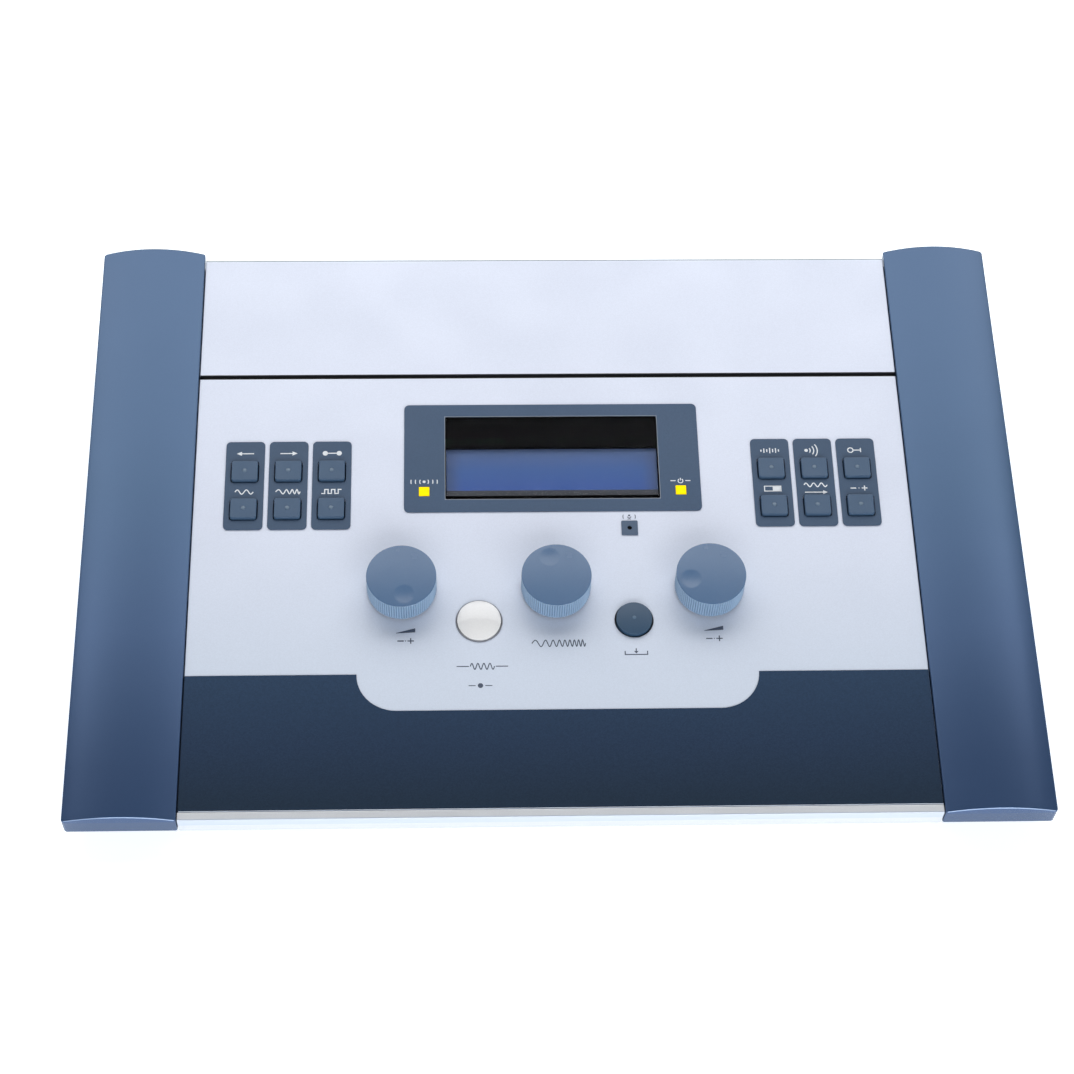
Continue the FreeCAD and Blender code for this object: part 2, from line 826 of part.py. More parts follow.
def knob(dimple_angle):
    """A ribbed knob with a plain rim and a finger dimple, hollow over the encoder's nut."""
    body = ribbed_bar(knob_r, knob_base, knob_top - knob_rim)
    rim = rod(knob_r, 0, 0, knob_top - knob_rim, knob_top)
    body = body.fuse(soften(rim, knob_top, knob_edge))
    body = body.cut(rod(knob_hollow_r, 0, 0, knob_base - past, knob_base + knob_hollow_h))
    grip_start = knob_base + knob_hollow_h
    body = body.cut(rod(shaft_r, 0, 0, grip_start - past, grip_start + shaft_grip))
    ball = (dimple_r * dimple_r + dimple_depth * dimple_depth) / (2 * dimple_depth)
    angle = math.radians(dimple_angle)
    centre = Vec(dimple_off * math.cos(angle), dimple_off * math.sin(angle), knob_top - dimple_depth + ball)
    return body.cut(Part.makeSphere(ball, centre))


def encoder():
    top = board_top + encoder_h
    body = centred(encoder_side, encoder_side, 0, 0, board_top, top, switch_r)
    body = body.fuse(rod(bush_r, 0, 0, top, bush_top))
    return body.cut(rod(shaft_r + shaft_gap, 0, 0, shaft_foot - shaft_end_gap, bush_top + past))


def encoder_nut():
    nut = hexagon(nut_af, Vec(0, 0, 0), Vec(0, 0, 1), nut_t)
    return nut.cut(rod(bush_r + thread_gap, 0, 0, -past, nut_t + past))


def at_knob(shape, u):
    moved = shape.copy()
    moved.translate(Vec(u, knob_v, 0))
    return moved


shaft_foot = board_top + 2 * shaft_end_gap + board_t
shaft_tip = knob_base + knob_hollow_h + shaft_grip
for name, u, turn in (("volume", -knob_u, -82), ("frequency", 0, 108), ("level", knob_u, 196)):
    keep(f"{name}_knob", on_deck(at_knob(knob(turn), u)))
    keep(f"{name}_shaft", on_deck(at_knob(rod(shaft_r, 0, 0, shaft_foot, shaft_tip), u)))
knob_row = (-knob_u, 0, knob_u)
keep("encoders", on_deck(group([at_knob(encoder(), u) for u in knob_row])))
keep("encoder_nuts", on_deck(group([at_knob(encoder_nut(), u) for u in knob_row])))


# ---- boards, studs and brackets ----
def panel_board():
    low = board_top - board_t
    body = centred(2 * board_half_w, board_v1 - board_v0, 0, (board_v0 + board_v1) / 2,
                   low, board_top, board_corner_r)
    for u, v in panel_stud_places():
        body = body.cut(rod(bolt_r + bolt_hole_gap, u, v, low - past, board_top + past))
    return body


def stud(u, v, low):
    """A threaded pillar pressed on under the control panel."""
    body = rod(stud_r, u, v, low, -plate_t)
    return body.cut(rod(bolt_r + bolt_gap, u, v, low - past, -plate_t - past))


def bracket_rows():
    return (deck_front + bracket_inset, joint_v - bracket_joint, deck_rear - bracket_inset)


def plate_bolt_places():
    u = wall_in - bracket_leg / 2
    return [(side * u, v) for side in (-1, 1) for v in bracket_rows()]


def panel_studs():
    solids = [stud(u, v, frame_bottom) for u, v in lcd_stud_places()]
    solids += [stud(u, v, board_top) for u, v in panel_stud_places()]
    for u, v in plate_bolt_places():
        solids.append(rod(bolt_r, u, v, -plate_t - plate_bolt_len, -plate_t))
    return group(solids)


def plate_brackets():
    """Angles inside the side walls that carry the two plates."""
    solids = []
    for side in (-1, 1):
        for v in bracket_rows():
            v0 = v - bracket_w / 2
            v1 = v + bracket_w / 2
            low = -plate_t - bracket_drop
            under = -plate_t - bracket_t
            legs = block(wall_in - bracket_t, wall_in, v0, v1, low, -plate_t)
            legs = legs.fuse(block(wall_in - bracket_leg, wall_in, v0, v1, under, -plate_t))
            centre = wall_in - bracket_leg / 2
            legs = legs.cut(rod(bolt_r + bolt_gap, centre, v, under - past, 0)).removeSplitter()
            solids.append(legs if side > 0 else mirrored(legs))
    return group(solids)


def plate_nuts():
    solids = []
    for u, v in plate_bolt_places():
        top = -plate_t - bracket_t
        nut = hexagon(plate_nut_af, Vec(u, v, top - plate_nut_t), Vec(0, 0, 1), plate_nut_t)
        solids.append(nut.cut(rod(bolt_r + bolt_gap, u, v, top - plate_nut_t - past, top + past)))
    return group(solids)


def main_board():
    """The processor and power board on the tray's floor, with its larger parts."""
    low = floor_z + standoff_h
    top = low + board_t
    board = block(-main_w / 2, main_w / 2, main_y0, main_y1, low, top)
    for x, y in standoff_spots():
        board = board.cut(rod(bolt_r + bolt_hole_gap, x, y, low - past, top + past))
    parts = [board, header(top)]
    for x, inset, width, depth, height in chips:
        y = main_y0 + inset
        parts.append(block(x - width / 2, x + width / 2, y - depth / 2, y + depth / 2, top, top + height))
    for x in cap_x:
        parts.append(rod(cap_r, x, main_y0 + cap_y, top, top + cap_h))
    return group(parts)


def header(level):
    """Socket that takes the ribbon cable's lower end."""
    half = ribbon_w / 2 + header_wall
    return block(-half, half, header_y - header_d / 2, header_y + header_d / 2, level, level + header_h)


def board_standoffs():
    solids = []
    for x, y in standoff_spots():
        body = rod(standoff_r, x, y, floor_z, floor_z + standoff_h)
        solids.append(body.cut(rod(bolt_r + bolt_gap, x, y, floor_z + past, floor_z + standoff_h + past)))
    return group(solids)


def ribbon_cable():
    """Flat cable from the main board's socket, forward and up to the panel board's underside."""
    under = board_top - board_t
    low = floor_z + standoff_h + board_t + header_h
    top = deck_point(0, board_v1 - ribbon_inset, under)
    rise = (top.z - low) / 2
    level = low + rise
    half_w = ribbon_w / 2
    half_t = ribbon_t / 2
    bend = rise - half_t - ribbon_leg
    body = block(-half_w, half_w, header_y - half_t, header_y + half_t, low, level + half_t)
    body = body.fuse(block(-half_w, half_w, top.y - half_t, header_y + half_t,
                           level - half_t, level + half_t))
    body = body.fuse(block(-half_w, half_w, top.y - half_t, top.y + half_t, level - half_t, top.z + past))
    body = body.cut(on_deck(block(-reach, reach, -reach, reach, under, reach))).removeSplitter()
    for y, z in ((header_y + half_t, level + half_t), (top.y - half_t, level - half_t)):
        body = body.makeFillet(bend + ribbon_t, cross_edges(body, y, z))
    for y, z in ((header_y - half_t, level - half_t), (top.y + half_t, level + half_t)):
        body = body.makeFillet(bend, cross_edges(body, y, z))
    return body


def cross_edges(shape, y, z):
    """Edges that run along X at one depth and height."""
    found = []
    for e in shape.Edges:
        centre = e.CenterOfMass
        if abs(e.tangentAt(e.FirstParameter).x) > 0.9 and math.hypot(centre.y - y, centre.z - z) < tiny:
            found.append(e)
    return found


keep("panel_board", on_deck(panel_board()))
keep("panel_studs", on_deck(panel_studs()))
keep("plate_brackets", on_deck(plate_brackets()))
keep("plate_nuts", on_deck(plate_nuts()))
keep("main_board", main_board())
keep("board_standoffs", board_standoffs())
keep("ribbon_cable", ribbon_cable())


# ---- screws ----
def screw(length):
    """Pan head screw pointing up, its head's seat at the origin."""
    head = rod(head_r, 0, 0, -head_h, 0)
    head = soften(head, -head_h, head_edge_r)
    return head.fuse(rod(bolt_r, 0, 0, 0, length))


def placed(shape, at, direction):
    moved = shape.copy()
    moved.Placement = FreeCAD.Placement(at, FreeCAD.Rotation(Vec(0, 0, 1), direction))
    return moved


def cheek_screws():
    solids = []
    for side in (-1, 1):
        for y, z in boss_places():
            solids.append(placed(screw(cheek_bolt_len), Vec(side * wall_in, y, z), Vec(side, 0, 0)))
    return group(solids)


def board_screws():
    """Equal short screws for the three boards and the rear panel."""
    short = screw(bolt_len)
    solids = []
    for u, v in lcd_stud_places():
        solids.append(on_deck(placed(screw(lcd_bolt_len), Vec(u, v, frame_bottom - board_t), Vec(0, 0, 1))))
    for u, v in panel_stud_places():
        solids.append(on_deck(placed(short, Vec(u, v, board_top - board_t), Vec(0, 0, 1))))
    for x, y in standoff_spots():
        top = floor_z + standoff_h + board_t
        solids.append(placed(short, Vec(x, y, top), Vec(0, 0, -1)))
    for x, z in rear_bolts():
        solids.append(placed(short, Vec(x, rear_face_y, z), Vec(0, -1, 0)))
    return group(solids)


keep("cheek_screws", cheek_screws())
keep("board_screws", board_screws())


# ---- rear sockets ----
def phone_sockets():
    solids = []
    half = socket_side / 2
    out = rear_face_y + sleeve_out
    for x in socket_x:
        body = block(x - half, x + half, rear_in_y - socket_depth, rear_in_y,
                     socket_z - half, socket_z + half)
        body = body.fuse(rod_y(bush_r, x, socket_z, rear_in_y, out))
        solids.append(body.cut(rod_y(socket_bore_r, x, socket_z, out - socket_depth, out + past)))
    return group(solids)


def socket_nuts():
    solids = []
    for x in socket_x:
        nut = hexagon(nut_af, Vec(x, rear_face_y, socket_z), Vec(0, 1, 0), nut_t)
        thread = rod_y(bush_r + thread_gap, x, socket_z, rear_face_y - past, rear_face_y + nut_t + past)
        solids.append(nut.cut(thread))
    return group(solids)


def power_inlet():
    """Round low-voltage inlet with a flange outside the rear panel and a pin in its bore."""
    out = rear_face_y + inlet_flange_t
    body = rod_y(inlet_r, inlet_x, socket_z, rear_in_y - inlet_depth, out)
    body = body.fuse(rod_y(inlet_flange_r, inlet_x, socket_z, rear_face_y, out)).removeSplitter()
    body = body.cut(rod_y(inlet_bore_r, inlet_x, socket_z, out - inlet_bore_depth, out + past))
    return body.fuse(rod_y(inlet_pin_r, inlet_x, socket_z, out - inlet_bore_depth - past, out - past))


rocker_y = rear_face_y + rocker_flange_t + rocker_proud - rocker_mid


def rocker_frame():
    """Rectangular frame with a flange outside the rear panel, a pocket and two pivot holes."""
    in_x = rocker_half_w + rocker_gap
    in_z = rocker_r + rocker_gap
    wall_x = in_x + rocker_frame_wall
    wall_z = in_z + rocker_frame_wall
    out = rear_face_y + rocker_flange_t
    body = block(rocker_x - wall_x, rocker_x + wall_x, rear_in_y - rocker_frame_depth, rear_face_y,
                 socket_z - wall_z, socket_z + wall_z)
    flange = block(rocker_x - wall_x - rocker_flange, rocker_x + wall_x + rocker_flange,
                   rear_face_y, out, socket_z - wall_z - rocker_flange, socket_z + wall_z + rocker_flange)
    body = body.fuse(flange)
    pocket = rocker_y - rocker_r / 2 - rocker_gap - rocker_under / 2
    body = body.cut(block(rocker_x - in_x, rocker_x + in_x, pocket, out + past,
                          socket_z - in_z, socket_z + in_z))
    pin = rocker_half_w + rocker_pin_len + rocker_gap
    return body.cut(rod_x(rocker_pin_r + shaft_gap, rocker_y, socket_z, rocker_x - pin, rocker_x + pin))


def power_rocker():
    """Rocker with two sloping faces and round ends about its pivot, at rest in its off position."""
    tip = rocker_mid + rocker_r * math.tan(math.radians(rocker_slope))
    outline = [
        (-rocker_r, tip), (0, rocker_mid), (rocker_r, tip),
        (rocker_r, -rocker_under), (-rocker_r, -rocker_under),
    ]
    body = prism([Vec(-rocker_half_w, y, z) for z, y in outline], Vec(2 * rocker_half_w, 0, 0))
    body = body.common(rod_x(rocker_r, 0, 0, -rocker_half_w, rocker_half_w))
    reach_x = rocker_half_w + rocker_pin_len
    body = body.fuse(rod_x(rocker_pin_r, 0, 0, -reach_x, reach_x)).removeSplitter()
    body.Placement = FreeCAD.Placement(
        Vec(rocker_x, rocker_y, socket_z), FreeCAD.Rotation(Vec(1, 0, 0), -rocker_swing / 2)
    )
    return body


keep("phone_sockets", phone_sockets())
keep("socket_nuts", socket_nuts())
keep("power_inlet", power_inlet())
keep("rocker_frame", rocker_frame())
keep("power_rocker", power_rocker())

for name, shape in pieces.items():
    shape.exportStep(f"parts/{name}.step")
    print(name, len(shape.Solids), shape.isValid(), round(shape.Volume, 1))
print(len(pieces), "nodes")

whole = group(list(pieces.values())).BoundBox
corners = (whole.XMin, whole.XMax, whole.YMin, whole.YMax, whole.ZMin, whole.ZMax)
print("box", [round(c, 3) for c in corners])
print("deck axis", 0, round(-sin_s, 6), round(cos_s, 6))
for name, u in (("volume", -knob_u), ("frequency", 0), ("level", knob_u)):
    at = deck_point(u, knob_v, knob_base)
    print(name, [round(c / 1000, 6) for c in at])
print("rocker", [round(c / 1000, 6) for c in (rocker_x, rocker_y, socket_z)])
print("sockets y", round(rear_face_y + sleeve_out, 4))
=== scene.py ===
import json
import math

import bmesh
import bpy
from mathutils import Matrix, Vector


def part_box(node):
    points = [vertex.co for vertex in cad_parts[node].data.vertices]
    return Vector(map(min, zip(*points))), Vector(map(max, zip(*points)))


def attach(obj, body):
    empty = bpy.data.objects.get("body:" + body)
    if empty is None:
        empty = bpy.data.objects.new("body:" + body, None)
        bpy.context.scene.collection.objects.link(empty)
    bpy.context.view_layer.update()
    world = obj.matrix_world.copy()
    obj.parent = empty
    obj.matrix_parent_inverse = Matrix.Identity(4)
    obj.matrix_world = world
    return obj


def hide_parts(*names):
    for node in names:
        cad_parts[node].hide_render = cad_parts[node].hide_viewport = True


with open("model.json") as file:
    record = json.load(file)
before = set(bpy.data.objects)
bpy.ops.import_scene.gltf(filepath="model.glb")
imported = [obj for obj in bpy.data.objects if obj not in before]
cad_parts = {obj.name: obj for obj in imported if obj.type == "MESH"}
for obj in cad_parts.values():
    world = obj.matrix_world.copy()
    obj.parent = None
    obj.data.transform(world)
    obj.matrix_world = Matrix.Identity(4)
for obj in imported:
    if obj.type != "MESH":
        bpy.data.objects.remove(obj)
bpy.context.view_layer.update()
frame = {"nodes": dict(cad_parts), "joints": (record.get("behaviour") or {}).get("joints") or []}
dialAxis = next(j["axis"] for j in frame["joints"] if j["name"] == "frequency_turn")
mm = 0.001
console = "console"         # the body that carries everything that doesn't move
sides = ("left", "right")
keyNumbers = range(1, 7)    # 1 to 3 in the upper row, 4 to 6 in the lower

# The deck's own axes come from the frame: u to the right, v up the slope, n out of the deck, in mm.
deckNormal = Vector(dialAxis).normalized()
deckRight = Vector((1, 0, 0))
deckUp = deckNormal.cross(deckRight)
toUser, toRear = Vector((0, -1, 0)), Vector((0, 1, 0))
upright = Vector((0, 0, 1))


def extent(node, axis):     # lowest and highest point of a node along an axis
    places = [p.co.dot(axis) for p in frame["nodes"][node].data.vertices]
    return min(places), max(places)


def axesAt(origin, right, up, out):     # a placement from an origin and three directions
    axes = Matrix((right, up, out)).transposed().to_4x4()
    return Matrix.Translation(origin) @ axes


deckLevel = extent("control_panel", deckNormal)[1]
deckMiddle = (extent("control_panel", deckUp)[0] + extent("rear_cover", deckUp)[1]) / 2
deckPlace = axesAt(deckNormal * deckLevel + deckUp * deckMiddle, deckRight, deckUp, deckNormal)


def span(node):     # u0, u1, v0, v1, n0, n1 of a node, in mm
    u0, u1 = extent(node, deckRight)
    v0, v1 = extent(node, deckUp)
    n0, n1 = extent(node, deckNormal)
    inDeck = (u0, u1, v0 - deckMiddle, v1 - deckMiddle, n0 - deckLevel, n1 - deckLevel)
    return [length / mm for length in inDeck]


def middle(node):   # its middle in u and v, and its top
    box = span(node)
    return (box[0] + box[1]) / 2, (box[2] + box[3]) / 2, box[5]


print("frame: deck found, slope", round(math.degrees(math.asin(-deckNormal.y)), 2))


# Node helpers
def tint(red, green, blue):     # screen colour 0 to 255, to the linear colour that nodes take
    linear = []
    for part in (red, green, blue):
        c = part / 255
        linear.append(c / 12.92 if c < 0.04045 else ((c + 0.055) / 1.055) ** 2.4)
    return (*linear, 1.0)


def fill(tree, node, values):   # a value is a constant, or a node and its output that feeds the socket
    for name, value in values.items():
        if isinstance(value, tuple) and isinstance(value[0], bpy.types.Node):
            tree.links.new(value[0].outputs[value[1]], node.inputs[name])
        else:
            node.inputs[name].default_value = value


def put(tree, kind, values=None, **settings):   # one node with its settings and values
    node = tree.nodes.new(kind)
    for name, value in settings.items():
        setattr(node, name, value)
    fill(tree, node, values or {})
    return node


# Each of these four gives a node with its output, ready to feed the next one.
def calc(tree, operation, first, second=0.0):
    return put(tree, "ShaderNodeMath", {0: first, 1: second}, operation=operation), 0


def dotProduct(tree, first, second):
    return put(tree, "ShaderNodeVectorMath", {0: first, 1: second}, operation="DOT_PRODUCT"), "Value"


def ranged(tree, source, start, stop, low=0.0, high=1.0):   # from low to high between start and stop
    values = {"Value": source, "From Min": start, "From Max": stop, "To Min": low, "To Max": high}
    return put(tree, "ShaderNodeMapRange", values), "Result"


def mixed(tree, share, first, second, **settings):      # from one colour to another
    return put(tree, "ShaderNodeMix", {0: share, 6: first, 7: second}, data_type="RGBA", **settings), 2


def newGroup(name, takes, gives):
    group = bpy.data.node_groups.new(name, "ShaderNodeTree")
    for label, kind, value in takes:
        socket = group.interface.new_socket(name=label, in_out="INPUT", socket_type=kind)
        socket.default_value = value
    for label, kind in gives:
        group.interface.new_socket(name=label, in_out="OUTPUT", socket_type=kind)
    return group, put(group, "NodeGroupInput"), put(group, "NodeGroupOutput")


number, colour, direction = "NodeSocketFloat", "NodeSocketColor", "NodeSocketVector"


def objectSpace(tree):
    return put(tree, "ShaderNodeTexCoord"), "Object"


def perMetre(tree, size):       # a texture's scale from a grain size in mm
    return calc(tree, "DIVIDE", 1 / mm, size)


def scaledNoise(tree, start, sizeSocket, detail):   # noise whose grain is given in mm
    scale = perMetre(tree, (start, sizeSocket))
    values = {"Vector": objectSpace(tree), "Scale": scale, "Detail": detail}
    return put(tree, "ShaderNodeTexNoise", values), "Fac"


def makeSurfaceGrain():     # fine spark texture of a mould or a spray coat
    tree, start, end = newGroup("surfaceGrain", [("Grain mm", number, 0.4)], [("Height", number)])
    steep = ranged(tree, scaledNoise(tree, start, "Grain mm", 2), 0.3, 0.7)
    fill(tree, end, {"Height": steep})
    return tree


def makeSlowTone():         # colour that drifts a little from place to place
    takes = [("Base", colour, (1, 1, 1, 1)), ("Shade", colour, (0, 0, 0, 1)), ("Patch mm", number, 40)]
    tree, start, end = newGroup("slowTone", takes, [("Color", colour)])
    noise = scaledNoise(tree, start, "Patch mm", 3)
    fill(tree, end, {"Color": mixed(tree, noise, (start, "Base"), (start, "Shade"))})
    return tree


def makeHandling():         # gloss that varies where hands and cloths have been
    takes = [("Clean", number, 0.35), ("Worn", number, 0.5), ("Patch mm", number, 25)]
    tree, start, end = newGroup("handling", takes, [("Roughness", number)])
    noise = scaledNoise(tree, start, "Patch mm", 5)
    spread = ranged(tree, noise, 0.35, 0.65, (start, "Clean"), (start, "Worn"))
    fill(tree, end, {"Roughness": spread})
    return tree


def makeFlake():            # metal flakes or pigment grains that catch the light one by one
    takes = [("Color", colour, (1, 1, 1, 1)), ("Flake mm", number, 0.3), ("Spread", number, 0.05)]
    tree, start, end = newGroup("flake", takes, [("Color", colour)])
    values = {"Vector": objectSpace(tree), "Scale": perMetre(tree, (start, "Flake mm"))}
    cells = put(tree, "ShaderNodeTexVoronoi", values)
    split = put(tree, "ShaderNodeSeparateColor", {"Color": (cells, "Color")})
    low = calc(tree, "SUBTRACT", 1.0, (start, "Spread"))
    high = calc(tree, "ADD", 1.0, (start, "Spread"))
    gain = ranged(tree, (split, "Red"), 0.0, 1.0, low, high)
    values = {0: (start, "Color"), "Scale": gain}
    scaled = put(tree, "ShaderNodeVectorMath", values, operation="SCALE")
    fill(tree, end, {"Color": (scaled, 0)})
    return tree


def makeSoftEdge():         # the small radius of a real edge, and a mask of where it is
    gives = [("Normal", direction), ("Mask", number)]
    tree, start, end = newGroup("softEdge", [("Radius mm", number, 0.2)], gives)
    radius = calc(tree, "MULTIPLY", (start, "Radius mm"), mm)
    bevel = put(tree, "ShaderNodeBevel", {"Radius": radius}, samples=4)
    flat = put(tree, "ShaderNodeNewGeometry")
    same = dotProduct(tree, (bevel, "Normal"), (flat, "Normal"))
    fill(tree, end, {"Normal": (bevel, "Normal"), "Mask": ranged(tree, same, 0.98, 0.8)})
    return tree


surfaceGrain, slowTone, handling = makeSurfaceGrain(), makeSlowTone(), makeHandling()
flake, softEdge = makeFlake(), makeSoftEdge()
print("node groups: 5")


# Materials
plainLook = {       # what a look doesn't say
    "patchMm": 40, "flakeMm": 0.3, "flakeSpread": 0.02, "edgeMm": 0.2, "edgeWearAndGlint": 0.3, "grainMm": 0.4,
    "depthMm": 0.01, "handMm": 25, "metallic": 0.0, "coat": 0.0, "coatRoughness": 0.1, "specular": 0.5,
}


def blank(name):    # a material with its tree and its shader
    material = bpy.data.materials.new(name)
    material.use_nodes = True
    tree = material.node_tree
    tree.nodes.clear()
    skin = put(tree, "ShaderNodeBsdfPrincipled")
    put(tree, "ShaderNodeOutputMaterial", {"Surface": (skin, "BSDF")})
    return material, tree, skin


def grouped(tree, group, values):
    return put(tree, "ShaderNodeGroup", values, node_tree=group)


def drifting(tree, base, shade, patchMm):
    return grouped(tree, slowTone, {"Base": base, "Shade": shade, "Patch mm": patchMm}), "Color"


def addHandling(tree, skin, look):
    values = {"Clean": look["clean"], "Worn": look["worn"], "Patch mm": look["handMm"]}
    fill(tree, skin, {"Roughness": (grouped(tree, handling, values), "Roughness")})


def finish(name, look, paint=None):
    # A surface with slow tone, flakes, edges paler from wear and from painted highlight, grain and handled
    # gloss, from its own values.
    # paint adds to the colour so far what only this piece has.
    look = {"edgeWearGlintTint": look["base"], **plainLook, **look}
    material, tree, skin = blank(name)
    tone = drifting(tree, look["base"], look["shade"], look["patchMm"])
    spark = grouped(tree, flake, {
        "Color": tone, "Flake mm": look["flakeMm"], "Spread": look["flakeSpread"],
    })
    edge = grouped(tree, softEdge, {"Radius mm": look["edgeMm"]})
    # edges paler from wear, and partly a painted highlight
    wearAndGlint = calc(tree, "MULTIPLY", (edge, "Mask"), look["edgeWearAndGlint"])
    worn = mixed(tree, wearAndGlint, (spark, "Color"), look["edgeWearGlintTint"])
    grain = grouped(tree, surfaceGrain, {"Grain mm": look["grainMm"]})
    bump = put(tree, "ShaderNodeBump", {
        "Height": (grain, "Height"), "Normal": (edge, "Normal"),
        "Distance": look["depthMm"] * mm, "Strength": 1.0,
    })
    fill(tree, skin, {
        "Base Color": paint(tree, worn) if paint else worn, "Normal": (bump, "Normal"),
        "Metallic": look["metallic"],
        "Coat Weight": look["coat"], "Coat Roughness": look["coatRoughness"],
        "Specular IOR Level": look["specular"],
    })
    addHandling(tree, skin, look)
    return material


cheekLook = {
    "base": tint(65, 91, 128), "shade": tint(61, 87, 124), "patchMm": 70,
    "clean": 0.25, "worn": 0.265, "grainMm": 0.35, "depthMm": 0.004,
    # the pale edge colour on the next line is a painted highlight along the front top edge
    "edgeMm": 0.25, "edgeWearAndGlint": 0.25, "edgeWearGlintTint": tint(120, 145, 180), "paintedEdgeHighlight": tint(142, 164, 198),
    "paintedEdgeHighlightFrom": (0.88, 0.97),     # how squarely the surface faces forward and up, where the painted highlight goes
    # the front face colour is a painted reflection of the pale floor
    "face": tint(40, 73, 118), "metallic": 0.35,
    "tones": ((0.08, tint(220, 224, 231)), (0.3, tint(255, 255, 255)), (0.54, tint(242, 251, 245)),
              (0.93, tint(244, 249, 243))),      # painted shade, from its front end to its rear end
}
deckLook = {
    "base": tint(215, 221, 236), "shade": tint(211, 217, 232), "patchMm": 60,
    "clean": 0.42, "worn": 0.5, "grainMm": 0.45, "depthMm": 0.006, "specular": 0.4,
    "flakeMm": 0.35, "flakeSpread": 0.025, "edgeWearAndGlint": 0.6, "edgeWearGlintTint": tint(245, 247, 250),
    "metallic": 0.2,
    # painted shade, a little darker to the plate's front
    "tones": ((0.3, tint(247, 251, 251)), (0.65, tint(255, 255, 255))),
}
railLook = {
    "base": tint(214, 217, 221), "shade": tint(208, 211, 216), "patchMm": 30,
    "clean": 0.3, "worn": 0.4, "grainMm": 0.3, "depthMm": 0.004,
    "flakeMm": 0.25, "flakeSpread": 0.03, "edgeWearAndGlint": 0.9, "edgeWearGlintTint": tint(252, 253, 255),
    # the front face colour is a painted reflection of the pale floor
    "face": tint(198, 206, 218), "metallic": 0.3,
}
apronLook = {
    "base": tint(40, 62, 89), "shade": tint(38, 60, 86), "patchMm": 50,
    "clean": 0.45, "worn": 0.48, "grainMm": 0.5, "depthMm": 0.015, "specular": 0.15,
    "flakeMm": 0.4, "flakeSpread": 0.1,
    # painted shade, darker to its front
    "tones": ((0.05, tint(192, 195, 191)), (0.46, tint(224, 223, 228)), (0.95, tint(255, 255, 255))),
}
bezelLook = {
    "base": tint(65, 87, 115), "shade": tint(61, 83, 110), "patchMm": 30, "specular": 0.3,
    "clean": 0.42, "worn": 0.5, "grainMm": 0.35, "depthMm": 0.008, "flakeMm": 0.35, "flakeSpread": 0.06,
}
micLook = {
    "base": tint(80, 98, 122), "shade": tint(76, 94, 117), "patchMm": 8, "specular": 0.3,
    "clean": 0.42, "worn": 0.5, "grainMm": 0.35, "depthMm": 0.006, "flakeMm": 0.3, "flakeSpread": 0.05,
}
stripLook = {
    "base": tint(65, 86, 112), "shade": tint(61, 82, 107), "patchMm": 20, "specular": 0.3,
    "clean": 0.45, "worn": 0.52, "grainMm": 0.35, "depthMm": 0.008, "flakeMm": 0.35, "flakeSpread": 0.05,
}
keyLook = {
    "base": tint(64, 90, 118), "shade": tint(60, 85, 113), "patchMm": 8, "specular": 0.4,
    "clean": 0.36, "worn": 0.46, "handMm": 6, "grainMm": 0.3, "depthMm": 0.005,
    "edgeWearAndGlint": 0.35, "edgeWearGlintTint": tint(120, 142, 168),
}
knobLook = {
    "base": tint(88, 116, 150), "shade": tint(83, 110, 144), "patchMm": 12,
    "clean": 0.22, "worn": 0.28, "handMm": 14, "grainMm": 0.3, "depthMm": 0.004,
    "edgeMm": 0.12, "edgeWearAndGlint": 0.4, "edgeWearGlintTint": tint(150, 175, 205),
}
# painted light: a lit copy of the knob's plastic for its ribbed side
knobSideLitLook = {
    "base": tint(142, 168, 194), "shade": tint(135, 161, 187), "patchMm": 6,
    "clean": 0.35, "worn": 0.45, "handMm": 5, "grainMm": 0.3, "depthMm": 0.004,
    "edgeMm": 0.08, "edgeWearAndGlint": 0.5, "edgeWearGlintTint": tint(170, 194, 222),
}
# painted shade: a shaded copy of the knob's plastic for its grooves
knobGrooveShadeLook = {
    "base": tint(102, 128, 158), "shade": tint(96, 122, 152), "patchMm": 6,
    "clean": 0.4, "worn": 0.5, "handMm": 5, "grainMm": 0.3, "depthMm": 0.004, "edgeWearAndGlint": 0.0,
}
storeLook = {
    "base": tint(48, 77, 104), "shade": tint(45, 73, 99), "patchMm": 6,
    "clean": 0.44, "worn": 0.52, "handMm": 6, "grainMm": 0.3, "depthMm": 0.005,
    "edgeWearAndGlint": 0.4, "edgeWearGlintTint": tint(110, 135, 150),
}
pearlLook = {
    "base": tint(243, 243, 242), "shade": tint(237, 237, 237), "patchMm": 10,
    "clean": 0.2, "worn": 0.26, "handMm": 7, "grainMm": 0.6, "depthMm": 0.001,
    "coat": 0.5, "coatRoughness": 0.08, "edgeWearAndGlint": 0.3, "edgeWearGlintTint": tint(250, 250, 250),
}
paleGuideLook = {
    "base": tint(150, 153, 164), "shade": tint(143, 146, 157), "patchMm": 6, "clean": 0.35, "worn": 0.45,
    "edgeWearGlintTint": tint(135, 138, 150),
}
darkGuideLook = {
    "base": tint(34, 38, 48), "shade": tint(30, 34, 43), "patchMm": 6, "clean": 0.35, "worn": 0.45,
    "edgeWearGlintTint": tint(70, 76, 88),
}
feltLook = {
    "base": tint(16, 16, 18), "shade": tint(22, 22, 24), "patchMm": 1, "clean": 0.85, "worn": 0.95,
    "grainMm": 0.15, "depthMm": 0.05, "specular": 0.1,
}
surroundLook = {
    "base": tint(8, 8, 9), "shade": tint(11, 11, 12), "clean": 0.5, "worn": 0.6, "specular": 0.01,
}
blackLook = {
    "base": tint(24, 24, 26), "shade": tint(30, 30, 32), "patchMm": 10, "clean": 0.38, "worn": 0.48,
    "grainMm": 0.3, "depthMm": 0.008, "edgeWearGlintTint": tint(70, 70, 74),
}
